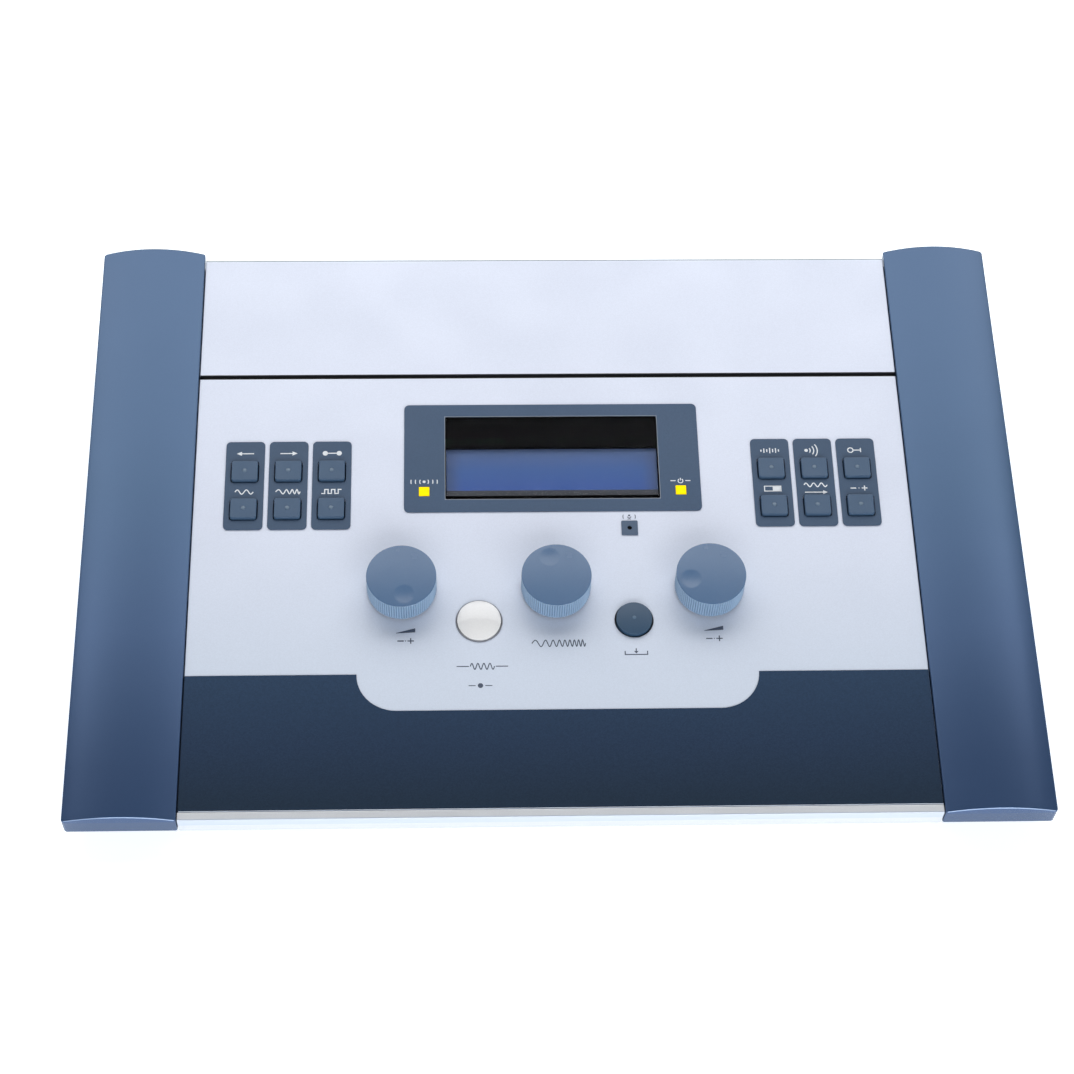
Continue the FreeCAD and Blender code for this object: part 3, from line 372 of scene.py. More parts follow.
rubberLook = {
    "base": tint(30, 30, 31), "shade": tint(38, 38, 39), "patchMm": 5, "clean": 0.75, "worn": 0.85,
    "grainMm": 0.5, "depthMm": 0.03, "edgeWearGlintTint": tint(70, 70, 70), "specular": 0.3,
}
traySteelLook = {
    "base": tint(52, 58, 70), "shade": tint(48, 54, 66), "patchMm": 50, "clean": 0.5, "worn": 0.6,
    "grainMm": 0.8, "depthMm": 0.03, "edgeWearAndGlint": 0.4, "edgeWearGlintTint": tint(92, 98, 112),
}
rearSteelLook = {
    "base": tint(70, 86, 112), "shade": tint(65, 81, 106), "patchMm": 50, "clean": 0.45, "worn": 0.55,
    "grainMm": 0.8, "depthMm": 0.03, "edgeWearAndGlint": 0.4, "edgeWearGlintTint": tint(110, 125, 148),
}
zincLook = {
    "base": tint(176, 178, 176), "shade": tint(150, 153, 152), "patchMm": 6, "clean": 0.28, "worn": 0.42,
    "handMm": 8, "flakeMm": 4, "flakeSpread": 0.08, "edgeWearAndGlint": 0.5, "edgeWearGlintTint": tint(215, 216, 214),
    "metallic": 1.0,
}
nickelLook = {
    "base": tint(196, 197, 196), "shade": tint(182, 183, 183), "patchMm": 3, "clean": 0.18, "worn": 0.3,
    "handMm": 3, "edgeWearAndGlint": 0.6, "edgeWearGlintTint": tint(235, 235, 233), "metallic": 1.0,
}
brassLook = {
    "base": tint(196, 168, 104), "shade": tint(178, 150, 90), "patchMm": 3, "clean": 0.25, "worn": 0.4,
    "handMm": 4, "edgeWearAndGlint": 0.5, "edgeWearGlintTint": tint(225, 200, 140), "metallic": 1.0,
}
pipLook = {
    "base": tint(105, 125, 145), "shade": tint(97, 117, 137), "patchMm": 1, "clean": 0.3, "worn": 0.4,
}
storePipLook = {
    "base": tint(84, 110, 134), "shade": tint(78, 104, 128), "patchMm": 1, "clean": 0.35, "worn": 0.45,
}
whiteInkLook = {
    "base": tint(232, 236, 240), "shade": tint(222, 227, 232), "patchMm": 2, "clean": 0.5, "worn": 0.6,
    "flakeMm": 0.15, "flakeSpread": 0.04, "edgeMm": 0.02,
}
paleEdgeLineLook = {
    "base": tint(158, 165, 174), "shade": tint(150, 157, 166), "patchMm": 4, "clean": 0.5, "worn": 0.6,
    "flakeMm": 0.15, "flakeSpread": 0.06, "edgeMm": 0.02,
}
darkInkLook = {
    "base": tint(66, 76, 96), "shade": tint(73, 83, 103), "patchMm": 2, "clean": 0.5, "worn": 0.6,
    "flakeMm": 0.15, "flakeSpread": 0.08, "edgeMm": 0.02,
}

bezelFilm = finish("bezelFilm", bezelLook)
stripFilm = finish("stripFilm", stripLook)
keyPlastic = finish("keyPlastic", keyLook)
knobPlastic = finish("knobPlastic", knobLook)
knobSideLit = finish("knobSideLit", knobSideLitLook)
knobGrooveShade = finish("knobGrooveShade", knobGrooveShadeLook)
storePlastic = finish("storePlastic", storeLook)
paleGuide = finish("paleGuide", paleGuideLook)
darkGuide = finish("darkGuide", darkGuideLook)
micFilm = finish("micFilm", micLook)
micFelt = finish("micFelt", feltLook)
surroundBlack = finish("surroundBlack", surroundLook)
socketBlack = finish("socketBlack", blackLook)
footRubber = finish("footRubber", rubberLook)
traySteel = finish("traySteel", traySteelLook)
rearSteel = finish("rearSteel", rearSteelLook)
zincPlate = finish("zincPlate", zincLook)
nickelPlate = finish("nickelPlate", nickelLook)
brass = finish("brass", brassLook)
pipPlastic = finish("pipPlastic", pipLook)
storePipPlastic = finish("storePipPlastic", storePipLook)
whiteInk = finish("whiteInk", whiteInkLook)
darkInk = finish("darkInk", darkInkLook)
paleEdgeLine = finish("paleEdgeLine", paleEdgeLineLook)


def along(tree, axis):      # distance along an axis, in metres
    return dotProduct(tree, objectSpace(tree), axis)


def past(tree, axis, limit, above=True):    # 1 where the place along an axis is past a limit
    return calc(tree, "GREATER_THAN" if above else "LESS_THAN", along(tree, axis), limit)


def overpainted(tree, before, mask, ink):     # the colour so far, with another colour where the mask is 1: print, real colour, and painted light and shade all go on this way
    return mixed(tree, mask, before, ink)


def overpaintedCorner(tree, before, first, second, ink):      # the same where two tests hold
    return overpainted(tree, before, calc(tree, "MULTIPLY", first, second), ink)


paintedFaceMm = 0.6        # how deep a front face's painted reflection reaches


def paintedFrontFace(tree, before, node, ink):    # the same on a node's front face, for a painted reflection of the floor
    return overpainted(tree, before, past(tree, toUser, extent(node, toUser)[1] - paintedFaceMm * mm), ink)


def ramp(tree, source, tones):      # tones at their places, each a share from 0 to 1
    blend = put(tree, "ShaderNodeValToRGB", {"Fac": source})
    stops = blend.color_ramp.elements
    stops[0].position, stops[0].color = tones[0]
    stops[1].position, stops[1].color = tones[-1]
    for position, tone in tones[1:-1]:
        stops.new(position).color = tone
    return blend, "Color"


def paintedShadeAlong(tree, before, node, tones):     # painted shade: the colour so far times tones from front to rear
    place = ranged(tree, along(tree, deckUp), *extent(node, deckUp))
    return mixed(tree, 1.0, before, ramp(tree, place, tones), blend_type="MULTIPLY")


def cheekPaintedLight(tree, before):       # painted shade deeper to its front, a painted floor reflection on its front face, and a painted highlight along its front top edge
    surface = put(tree, "ShaderNodeNewGeometry")
    toEdge = dotProduct(tree, (surface, "Normal"), (deckNormal - deckUp).normalized())
    onPaintedHighlight = ranged(tree, toEdge, *cheekLook["paintedEdgeHighlightFrom"])
    shaded = paintedShadeAlong(tree, before, "left_cheek", cheekLook["tones"])
    faced = paintedFrontFace(tree, shaded, "left_cheek", cheekLook["face"])
    return overpainted(tree, faced, onPaintedHighlight, cheekLook["paintedEdgeHighlight"])


def filmPaintedShade(tree, before):        # painted shade, deeper to its front
    return paintedShadeAlong(tree, before, "apron_label", apronLook["tones"])


def railFaceReflection(tree, before):         # painted reflection of the floor, bluer and duller on its front face
    return paintedFrontFace(tree, before, "front_rail", railLook["face"])


# painted shade: a grey line on the rear bend and a dark line along the seam
coverShadeLook = {
    "bend": tint(128, 136, 142), "bendMm": 0.55, "bendDeepMm": 0.7,
    "seamShade": tint(28, 30, 36), "seamMm": 0.3,
}


def coverPaintedShade(tree, before):       # a painted shade line on the bend at its rear, and painted shade widening the dark seam at its front
    front, rear = extent("rear_cover", deckUp)
    atRear = past(tree, deckUp, rear - coverShadeLook["bendMm"] * mm)
    onTop = past(tree, deckNormal, deckLevel - coverShadeLook["bendDeepMm"] * mm)
    bendShaded = overpaintedCorner(tree, before, atRear, onTop, coverShadeLook["bend"])
    atSeam = past(tree, deckUp, front + coverShadeLook["seamMm"] * mm, above=False)
    return overpainted(tree, bendShaded, atSeam, coverShadeLook["seamShade"])


# painted shade in the gap along the plate's left edge, by the cheek
edgeShadeLook = {"gapShade": tint(24, 32, 46), "widthMm": 0.35}


def panelPaintedShade(tree, before):        # painted shade darker to its front, and painted shade on the plate's left edge beside the film
    shaded = paintedShadeAlong(tree, before, "control_panel", deckLook["tones"])
    left = extent("control_panel", deckRight)[0] + edgeShadeLook["widthMm"] * mm
    atLeft = past(tree, deckRight, left, above=False)
    beside = past(tree, deckUp, extent("apron_label", deckUp)[1], above=False)
    return overpaintedCorner(tree, shaded, atLeft, beside, edgeShadeLook["gapShade"])


# painted sheen along the pearl cap
pearlSheenTones = ((0.0, tint(255, 255, 255)), (0.55, tint(240, 240, 241)), (1.0, tint(254, 254, 255)))


def pearlPaintedSheen(tree, before):       # painted sheen: paler to its front and its rear
    return paintedShadeAlong(tree, before, "tone_button", pearlSheenTones)


lensLook = {"glass": tint(244, 247, 250), "ior": 1.07, "clean": 0.01, "worn": 0.04, "handMm": 30}  # coated


def makeLens():
    material, tree, skin = blank("lensClear")
    values = {"Base Color": lensLook["glass"], "IOR": lensLook["ior"], "Transmission Weight": 1.0}
    fill(tree, skin, values)
    addHandling(tree, skin, lensLook)
    return material


displayLook = {
    # the top tone is painted shade under the surround
    "tones": ((0.12, tint(73, 100, 167)), (0.55, tint(77, 106, 162)), (1.0, tint(94, 110, 145))),
    "ends": tint(86, 101, 136), "endsFrom": 0.42, "rim": tint(82, 83, 88), "rimShare": 0.165,
    "columns": 20, "rows": 2, "cellGap": 0.004, "cellContrast": 0.04, "light": 0.12, "specular": 0.1,
    "clean": 0.25, "worn": 0.35, "handMm": 20,
}


def lit(tree, skin, tone, look):    # a tone that also gives a little light
    fill(tree, skin, {
        "Base Color": tone, "Emission Color": tone,
        "Emission Strength": look["light"], "Specular IOR Level": look["specular"],
    })


def makeDisplay():
    # Lit glass with painted shade greying its top under the surround, greyer at its ends, with the faint
    # cells of its characters and a dark rim.
    look = displayLook
    material, tree, skin = blank("displayGlass")
    where = (put(tree, "ShaderNodeTexCoord"), "Generated")
    parts = put(tree, "ShaderNodeSeparateXYZ", {"Vector": where})
    fromMiddle = calc(tree, "SUBTRACT", (parts, "X"), 0.5)
    atEnds = ranged(tree, calc(tree, "ABSOLUTE", fromMiddle), look["endsFrom"], 0.5)
    withEnds = mixed(tree, atEnds, ramp(tree, (parts, "Y"), look["tones"]), look["ends"])
    white, gap = (1, 1, 1, 1), 1 - look["cellContrast"]
    cells = put(tree, "ShaderNodeTexBrick", {
        "Vector": where, "Scale": 1.0, "Mortar Size": look["cellGap"], "Brick Width": 1 / look["columns"],
        "Row Height": 1 / look["rows"], "Color1": white, "Color2": white, "Mortar": (gap, gap, gap, 1),
    }, offset=0.0)
    shaded = mixed(tree, 1.0, withEnds, (cells, "Color"), blend_type="MULTIPLY")
    inRim = calc(tree, "LESS_THAN", (parts, "Y"), look["rimShare"])
    lit(tree, skin, overpainted(tree, shaded, inRim, look["rim"]), look)
    addHandling(tree, skin, look)
    return material


lampLook = {
    "base": tint(254, 229, 6), "shade": tint(250, 208, 0), "patchMm": 3, "light": 0.4, "specular": 0.03,
    "clean": 0.25, "worn": 0.35, "handMm": 4,
}


def makeLamp():
    material, tree, skin = blank("lampYellow")
    lit(tree, skin, drifting(tree, lampLook["base"], lampLook["shade"], lampLook["patchMm"]), lampLook)
    addHandling(tree, skin, lampLook)
    return material


boardLook = {
    "resist": tint(22, 92, 58), "track": tint(38, 122, 78), "part": tint(28, 28, 30), "trackMm": 3.2,
    "trackShare": 0.12, "thickMm": 1.6, "clearMm": 0.02, "clean": 0.25, "worn": 0.4, "handMm": 12,
}


def makeBoard(name, node=None):
    # Green board with its tracks; what stands on its upper face is dark.
    material, tree, skin = blank(name)
    values = {"Vector": objectSpace(tree), "Scale": 1 / (boardLook["trackMm"] * mm)}
    lines = put(tree, "ShaderNodeTexVoronoi", values, feature="DISTANCE_TO_EDGE", distance="MANHATTAN")
    thin = calc(tree, "LESS_THAN", (lines, "Distance"), boardLook["trackShare"])
    face = mixed(tree, thin, boardLook["resist"], boardLook["track"])
    if node:
        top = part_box(node)[0].z + (boardLook["thickMm"] + boardLook["clearMm"]) * mm
        face = overpainted(tree, face, past(tree, upright, top), boardLook["part"])
    fill(tree, skin, {"Base Color": face})
    addHandling(tree, skin, boardLook)
    return material


ribbonLook = {
    "jacket": tint(178, 180, 182), "groove": tint(120, 122, 124), "pitchMm": 1.27, "deepMm": 0.2,
    "clean": 0.4, "worn": 0.5, "handMm": 10,
}


def makeRibbon():
    material, tree, skin = blank("ribbonJacket")
    values = {"Vector": objectSpace(tree), "Scale": 0.5 / (ribbonLook["pitchMm"] * mm) * math.pi / 10}
    wires = put(tree, "ShaderNodeTexWave", values, bands_direction="X")
    shade = mixed(tree, (wires, "Fac"), ribbonLook["groove"], ribbonLook["jacket"])
    values = {"Height": (wires, "Fac"), "Distance": ribbonLook["deepMm"] * mm}
    bump = put(tree, "ShaderNodeBump", values)
    fill(tree, skin, {"Base Color": shade, "Normal": (bump, "Normal")})
    addHandling(tree, skin, ribbonLook)
    return material


cheekPlastic = finish("cheekPlastic", cheekLook, cheekPaintedLight)
dress = {
    "left_cheek": cheekPlastic, "right_cheek": cheekPlastic, "base_tray": traySteel,
    "rear_panel": rearSteel, "control_panel": finish("panelPaint", deckLook, panelPaintedShade),
    "rear_cover": finish("coverPaint", deckLook, coverPaintedShade), "gap_seal": footRubber,
    "front_rail": finish("railAluminium", railLook, railFaceReflection), "cross_bar": zincPlate,
    "apron_label": finish("apronFilm", apronLook, filmPaintedShade), "rubber_feet": footRubber,
    "display_bezel": bezelFilm, "display_lens": makeLens(), "lcd_frame": surroundBlack,
    "lcd_glass": makeDisplay(), "lcd_board": makeBoard("displayBoard"), "response_led": makeLamp(),
    "mic_plate": micFilm, "mic_capsule": micFelt, "key_strips": stripFilm, "push_switches": socketBlack,
    "tone_button": finish("pearlCap", pearlLook, pearlPaintedSheen), "tone_guide": paleGuide,
    "store_button": storePlastic, "store_guide": darkGuide, "encoders": zincPlate,
    "encoder_nuts": nickelPlate, "panel_board": makeBoard("panelBoard"), "panel_studs": brass,
    "plate_brackets": zincPlate, "plate_nuts": nickelPlate,
    "main_board": makeBoard("mainBoard", "main_board"), "board_standoffs": brass,
    "ribbon_cable": makeRibbon(), "cheek_screws": nickelPlate, "board_screws": nickelPlate,
    "phone_sockets": socketBlack, "socket_nuts": nickelPlate, "power_inlet": socketBlack,
    "rocker_frame": socketBlack, "power_rocker": socketBlack,
}
dress["power_led"] = dress["response_led"]
for side in sides:
    for count in keyNumbers:
        dress[f"key_{side}_{count}"] = keyPlastic
for dial in ("volume", "frequency", "level"):
    dress[f"{dial}_knob"] = knobPlastic
    dress[f"{dial}_shaft"] = nickelPlate
for node, material in dress.items():
    body = frame["nodes"][node]
    body.data.materials.clear()
    body.data.materials.append(material)
print("materials: dressed", len(dress), "of", len(frame["nodes"]), "nodes")


# Pieces of mesh
def inScene(name, data):
    thing = bpy.data.objects.new(name, data)
    bpy.context.scene.collection.objects.link(thing)
    return thing


def addPiece(name, mesh, material, place, body):
    mesh.materials.append(material)
    piece = inScene(name, mesh)
    piece.matrix_world = place
    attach(piece, body)
    return piece


def onDeck(u, v, n):
    return deckPlace @ Matrix.Translation(Vector((u, v, n)) * mm)


# Printed marks: each stroke is two rails of points, filled between and given the ink's thickness.
inkLook = {"thickMm": 0.03, "lineMm": 0.45, "thinMm": 0.38, "mitre": 0.5, "ringSides": 24}
thinLine = inkLook["thinMm"]


def stroke(points, width=inkLook["lineMm"], closed=False):
    left, right = [], []
    count = len(points)
    for k, (x, y) in enumerate(points):
        before = points[k - 1] if k or closed else points[k]
        after = points[(k + 1) % count] if k < count - 1 or closed else points[k]
        inward = Vector((x - before[0], y - before[1]))
        onward = Vector((after[0] - x, after[1] - y))
        inward = (inward if inward.length else onward).normalized()
        onward = (onward if onward.length else inward).normalized()
        between = (inward + onward).normalized()
        reach = width / 2 / max(inkLook["mitre"], between.dot(onward))
        left.append((x - between.y * reach, y + between.x * reach))
        right.append((x + between.y * reach, y - between.x * reach))
    return left, right, closed


def arc(x, y, radius, start, stop, steps=14):
    points = []
    for k in range(steps + 1):
        angle = math.radians(start + (stop - start) * k / steps)
        points.append((x + radius * math.cos(angle), y + radius * math.sin(angle)))
    return points


def ring(x, y, radius, width=inkLook["lineMm"]):
    sides = inkLook["ringSides"]
    return stroke(arc(x, y, radius, 0, 360 - 360 / sides, sides - 1), width, closed=True)


def dot(x, y, radius):
    return ring(x, y, radius / 2, radius * 0.98)    # its hole is too small to see


def dashes(near, far, width=inkLook["lineMm"]):     # one to each side
    return [stroke([(s * near, 0), (s * far, 0)], width) for s in (-1, 1)]


def patch(a, b, c, d):      # a filled four-sided shape
    return [a, b], [d, c], False


def shifted(rails, dx, dy):
    left, right, closed = rails
    return [(x + dx, y + dy) for x, y in left], [(x + dx, y + dy) for x, y in right], closed


def inkMesh(name, strokes):
    mesh = bpy.data.meshes.new(name)
    solid = bmesh.new()
    thick = inkLook["thickMm"] * mm
    for left, right, closed in strokes:
        rows = []
        for (lx, ly), (rx, ry) in zip(left, right):
            corners = ((lx, ly, 0), (rx, ry, 0), (rx, ry, 1), (lx, ly, 1))
            rows.append([solid.verts.new((x * mm, y * mm, z * thick)) for x, y, z in corners])
        pairs = list(zip(rows, rows[1:]))
        if closed:
            pairs.append((rows[-1], rows[0]))
        else:
            solid.faces.new(rows[0])
            solid.faces.new(rows[-1][::-1])
        for near, far in pairs:
            for k in range(4):
                after = (k + 1) % 4
                solid.faces.new((near[k], far[k], far[after], near[after]))
    bmesh.ops.recalc_face_normals(solid, faces=solid.faces)
    solid.to_mesh(mesh)
    solid.free()
    return mesh


def wavePoints(width, height, periods, growth=0.0, steps=60):
    points = []
    for k in range(steps + 1):
        t = k / steps
        phase = periods * (t + growth * t * t) / (1 + growth)
        points.append(((t - 0.5) * width, height / 2 * math.sin(2 * math.pi * phase)))
    return points


def pulsePoints(width, height, count):
    points = []
    step = width / (2 * count)
    for k in range(2 * count):
        level = height / 2 if k % 2 else -height / 2
        points += [(k * step - width / 2, level), ((k + 1) * step - width / 2, level)]
    return points


def arrow(tail, tip, y=0.0, head=1.9, blunt=0.05):      # a level arrow from its tail to its tip
    back = tip - math.copysign(head, tip - tail)
    barb = patch((tip, y + blunt), (back, y + head / 2), (back, y - head / 2), (tip, y - blunt))
    return [stroke([(tail, y), (back, y)]), barb]


def noiseBars():
    heights = (0.8, 1.7, 1.1, 2.1, 1.3, 1.9, 0.9)
    bars = [((k - 3.0) * 1.15, h * 0.58) for k, h in enumerate(heights)]
    return [stroke([(x, -reach), (x, reach)]) for x, reach in bars]


def soundArcs():
    arcs = [stroke(arc(-2.5, 0, radius, -38, 38)) for radius in (1.6, 3.0, 4.4)]
    return [dot(-2.5, 0, 0.7)] + arcs


def plug():
    return [ring(-1.9, 0, 1.05), stroke([(-0.8, 0), (2.1, 0)]), stroke([(2.1, -0.95), (2.1, 0.95)])]


def halfBox():
    box = [(-3.2, -1.1), (3.2, -1.1), (3.2, 1.1), (-3.2, 1.1)]
    return [stroke(box, thinLine, closed=True), patch((0, 1.1), (3.2, 1.1), (3.2, -1.1), (0, -1.1))]


def waveOverArrow():
    upper = shifted(stroke(wavePoints(9.0, 1.7, 3)), 0, 1.55)
    return [upper] + arrow(-4.4, 4.4, -1.75, 1.7)


def plusMinus(gap=2.2, arm=1.1):
    return [
        stroke([(-gap - arm, 0), (-gap + arm, 0)]), stroke([(gap - arm, 0), (gap + arm, 0)]),
        stroke([(gap, -arm), (gap, arm)]), dot(0, 0, 0.22),
    ]


keyMarks = {
    "key_left_1": arrow(3.3, -3.3), "key_left_2": arrow(-3.3, 3.3),
    "key_left_3": [dot(-2.7, 0, 1.05), dot(2.7, 0, 1.05), stroke([(-1.9, 0), (1.9, 0)])],
    "key_left_4": [stroke(wavePoints(7.0, 1.9, 2))],
    "key_left_5": [stroke(wavePoints(9.4, 1.9, 4, 1.2))],
    "key_left_6": [stroke(pulsePoints(7.8, 1.8, 3))],
    "key_right_1": noiseBars(), "key_right_2": soundArcs(), "key_right_3": plug(),
    "key_right_4": halfBox(), "key_right_5": waveOverArrow(), "key_right_6": plusMinus(),
}
keyMarkLook = {"overUpperMm": 3.85, "overLowerMm": 3.35}


def makeKeyMarks():
    level = span("key_strips")[5]
    for key, strokes in keyMarks.items():
        row = "overUpperMm" if int(key[-1]) < 4 else "overLowerMm"
        place = onDeck(middle(key)[0], span(key)[3] + keyMarkLook[row], level)
        name = key + "_mark"
        addPiece(name, inkMesh(name, strokes), whiteInk, place, console)


def responseMark():
    arcs = []
    for facing in (0, 180):
        for radius in (1.7, 3.4, 5.1):
            half = math.degrees(math.asin(0.9 / radius))
            arcs.append(stroke(arc(0, 0, radius, facing - half, facing + half), thinLine))
    return [dot(0, 0, 0.6)] + arcs


def powerMark():
    return [stroke(arc(0, -0.1, 0.95, 125, 415), 0.36),
            stroke([(0, 0.1), (0, 1.25)], 0.36)] + dashes(1.9, 3.9, thinLine)


def micMark():
    capsule = [(0, 0.2), (0, 0.9)]
    return [stroke(capsule, 0.8), stroke(arc(0, 0.35, 0.85, 200, 340), 0.26),
            stroke([(0, -0.5), (0, -1.05)], 0.26), stroke([(-0.7, -1.05), (0.7, -1.05)], 0.26),
            stroke(arc(0, 0, 2.4, -22, 22), 0.3), stroke(arc(0, 0, 2.4, 158, 202), 0.3)]


def rampMark():     # the rising wedge of a level control, with minus and plus under it
    wedge = patch((-3.6, 0.63), (3.6, 2.55), (3.6, 0.85), (-3.6, 0.43))
    signs = [shifted(rails, 0, -2.8) for rails in plusMinus(1.9, 1.2)]
    return [wedge] + signs


def chirpMark():
    return [stroke(wavePoints(20.1, 2.7, 9, 1.6, 150), thinLine)]


def burstMark():
    return [stroke(wavePoints(9.0, 2.5, 4, 0, 90), thinLine)] + dashes(5.0, 9.6, thinLine)


def pressMark():
    return [dot(0, 0, 1.0)] + dashes(1.8, 4.4, 0.32)


def storeMark():
    tray = [(-4.2, 0.4), (-4.2, -1.1), (4.2, -1.1), (4.2, 0.4)]
    shaft = stroke([(0, 1.5), (0, 0.3)], 0.4)
    head = patch((-0.05, -0.6), (-0.85, 0.35), (0.85, 0.35), (0.05, -0.6))
    return [stroke(tray, 0.4), shaft, head]


deckMarks = {       # strokes, the node it belongs to, mm to its right and below its middle, surface, ink
    "response_mark": (responseMark(), "response_led", 0, -4.4, "display_bezel", whiteInk),
    "power_mark": (powerMark(), "power_led", 0, -4.2, "display_bezel", whiteInk),
    "mic_mark": (micMark(), "mic_plate", 0, -5.1, "control_panel", darkInk),
    "volume_mark": (rampMark(), "volume_knob", 1.5, 19.0, "control_panel", darkInk),
    "frequency_mark": (chirpMark(), "frequency_knob", 0.5, 23.3, "control_panel", darkInk),
    "level_mark": (rampMark(), "level_knob", 0.8, 19.0, "control_panel", darkInk),
    "tone_mark": (burstMark(), "tone_button", 1.0, 19.0, "control_panel", darkInk),
    "press_mark": (pressMark(), "tone_button", 0.2, 27.0, "control_panel", darkInk),
    "store_mark": (storeMark(), "store_button", 0.3, 13.5, "control_panel", darkInk),
}


def makeDeckMarks():
    for name, (strokes, node, beside, below, surface, ink) in deckMarks.items():
        u, v = middle(node)[:2]
        place = onDeck(u + beside, v - below, span(surface)[5])
        addPiece(name, inkMesh(name, strokes), ink, place, console)


makeKeyMarks()
makeDeckMarks()
print("marks:", len(keyMarks) + len(deckMarks))


# The rear panel: numerals over the sockets, symbols over inlet and switch, and the screws' recesses.
rearMarkLook = {
    "overMm": 11.5, "overSwitchMm": 15.0, "crossMm": 2.6, "crossLineMm": 0.55,
    "rockerMarkMm": 1.5, "rockerLineMm": 0.5, "rockerLiftMm": 0.01,
}


def onFace(point, out, up=upright):     # a placement on a face, read from outside
    right = up.cross(out).normalized()
    return axesAt(point, right, out.cross(right), out)


def lumps(node):    # the boxes of a node's separate solids
    solid = bmesh.new()
    solid.from_mesh(frame["nodes"][node].data)
    bmesh.ops.remove_doubles(solid, verts=solid.verts, dist=0.001 * mm)
    left = set(solid.verts)
    boxes = []
    while left:
        found = [left.pop()]
        for point in found:
            for edge in point.link_edges:
                other = edge.other_vert(point)
                if other in left:
                    left.remove(other)
                    found.append(other)
        places = [sorted(p.co[k] for p in found) for k in range(3)]
        boxes.append((Vector([p[0] for p in places]), Vector([p[-1] for p in places])))
    solid.free()
    return boxes


def numeral(figure):
    if figure == 1:
        return [stroke([(-0.6, 0.9), (0, 1.5), (0, -1.5)])]
    if figure == 2:
        return [stroke(arc(0, 0.65, 0.85, 160, -30) + [(-0.85, -1.5), (0.95, -1.5)])]
    if figure == 3:
        return [stroke(arc(0, 0.75, 0.75, 150, -80)), stroke(arc(0, -0.7, 0.8, 80, -150))]
    return [stroke([(0.45, -1.5), (0.45, 1.5), (-0.95, -0.6), (1.0, -0.6)])]


def inletMark():
    return [stroke(arc(0, 0, 1.2, -145, 145)), dot(0, 0, 0.5)] + dashes(1.2, 2.8)


def addRearMark(name, strokes, box, over="overMm"):     # above a box on the rear panel
    at = (box[0] + box[1]) / 2
    point = Vector((at.x, extent("rear_panel", toRear)[1], at.z + rearMarkLook[over] * mm))
    addPiece(name, inkMesh(name, strokes), whiteInk, onFace(point, toRear), console)


def makeRearMarks():
    sockets = sorted(lumps("socket_nuts"), key=lambda box: -box[0].x)
    for k, box in enumerate(sockets, 1):
        addRearMark(f"socket_number_{k}", numeral(k), box)
    addRearMark("inlet_mark", inletMark(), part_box("power_inlet"))
    addRearMark("switch_mark", powerMark()[:2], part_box("rocker_frame"), "overSwitchMm")


def makeScrewCrosses():
    reach = rearMarkLook["crossMm"] / 2
    width = rearMarkLook["crossLineMm"]
    cross = [stroke([(-reach, 0), (reach, 0)], width), stroke([(0, -reach), (0, reach)], width)]
    rear = extent("rear_panel", toRear)[1]
    heads = [box for box in lumps("board_screws") if box[1].y > rear]
    for k, (low, high) in enumerate(heads, 1):
        name = f"rear_screw_cross_{k}"
        point = Vector(((low.x + high.x) / 2, high.y, (low.z + high.z) / 2))
        addPiece(name, inkMesh(name, cross), darkInk, onFace(point, toRear), console)
    return len(heads)


def rockerFaces():      # middle and direction of the rocker's two pressed faces, the upper one first
    flats = {}
    for face in frame["nodes"]["power_rocker"].data.polygons:
        if face.normal.dot(toRear) > 0.6:       # it looks to the rear
            key = tuple(round(c, 1) for c in face.normal)
            total, weighted, out = flats.get(key, (0, Vector(), face.normal))
            flats[key] = (total + face.area, weighted + face.center * face.area, out.copy())
    largest = sorted(flats.values(), key=lambda flat: -flat[0])[:2]
    return sorted(((weighted / total, out) for total, weighted, out in largest), key=lambda f: -f[0].z)


def makeRockerMarks():      # the stroke and the ring of on and off
    size, width = rearMarkLook["rockerMarkMm"], rearMarkLook["rockerLineMm"]
    marks = ([stroke([(-size, 0), (size, 0)], width)], [ring(0, 0, size * 0.8, width)])
    for name, strokes, (point, out) in zip(("rocker_on", "rocker_off"), marks, rockerFaces()):
        place = onFace(point + out * rearMarkLook["rockerLiftMm"] * mm, out)
        addPiece(name, inkMesh(name, strokes), whiteInk, place, "rocker")


makeRearMarks()
makeRockerMarks()
print("rear panel: marks, screws", makeScrewCrosses())


# Turned pieces: a profile of (radius, height) in mm, swept about the piece's axis.
def turned(name, profile, steps, radiusAt=None, heightAt=None):
    mesh = bpy.data.meshes.new(name)
    solid = bmesh.new()
    rings = []
    for radius, height in profile:
        if radius == 0:
            rings.append([solid.verts.new((0, 0, height * mm))])
            continue
        row = []
        for k in range(steps):
            angle = 2 * math.pi * k / steps
            r = radiusAt(radius, height, k) if radiusAt else radius
            x, y = r * math.cos(angle), r * math.sin(angle)
            z = heightAt(x, y, height) if heightAt else height
            row.append(solid.verts.new((x * mm, y * mm, z * mm)))
        rings.append(row)
    for lower, upper in zip(rings, rings[1:]):
        for k in range(steps):
            after = (k + 1) % steps
            if len(lower) == 1:
                solid.faces.new((lower[0], upper[after], upper[k]))
            elif len(upper) == 1:
                solid.faces.new((lower[k], lower[after], upper[0]))
            else:
                solid.faces.new((lower[k], lower[after], upper[after], upper[k]))
    bmesh.ops.recalc_face_normals(solid, faces=solid.faces)
    solid.to_mesh(mesh)
    solid.free()
    return mesh


def smoothBy(mesh, degrees):    # smooth shading but for edges sharper than this
    mesh.shade_smooth()
    mesh.set_sharp_from_angle(angle=math.radians(degrees))


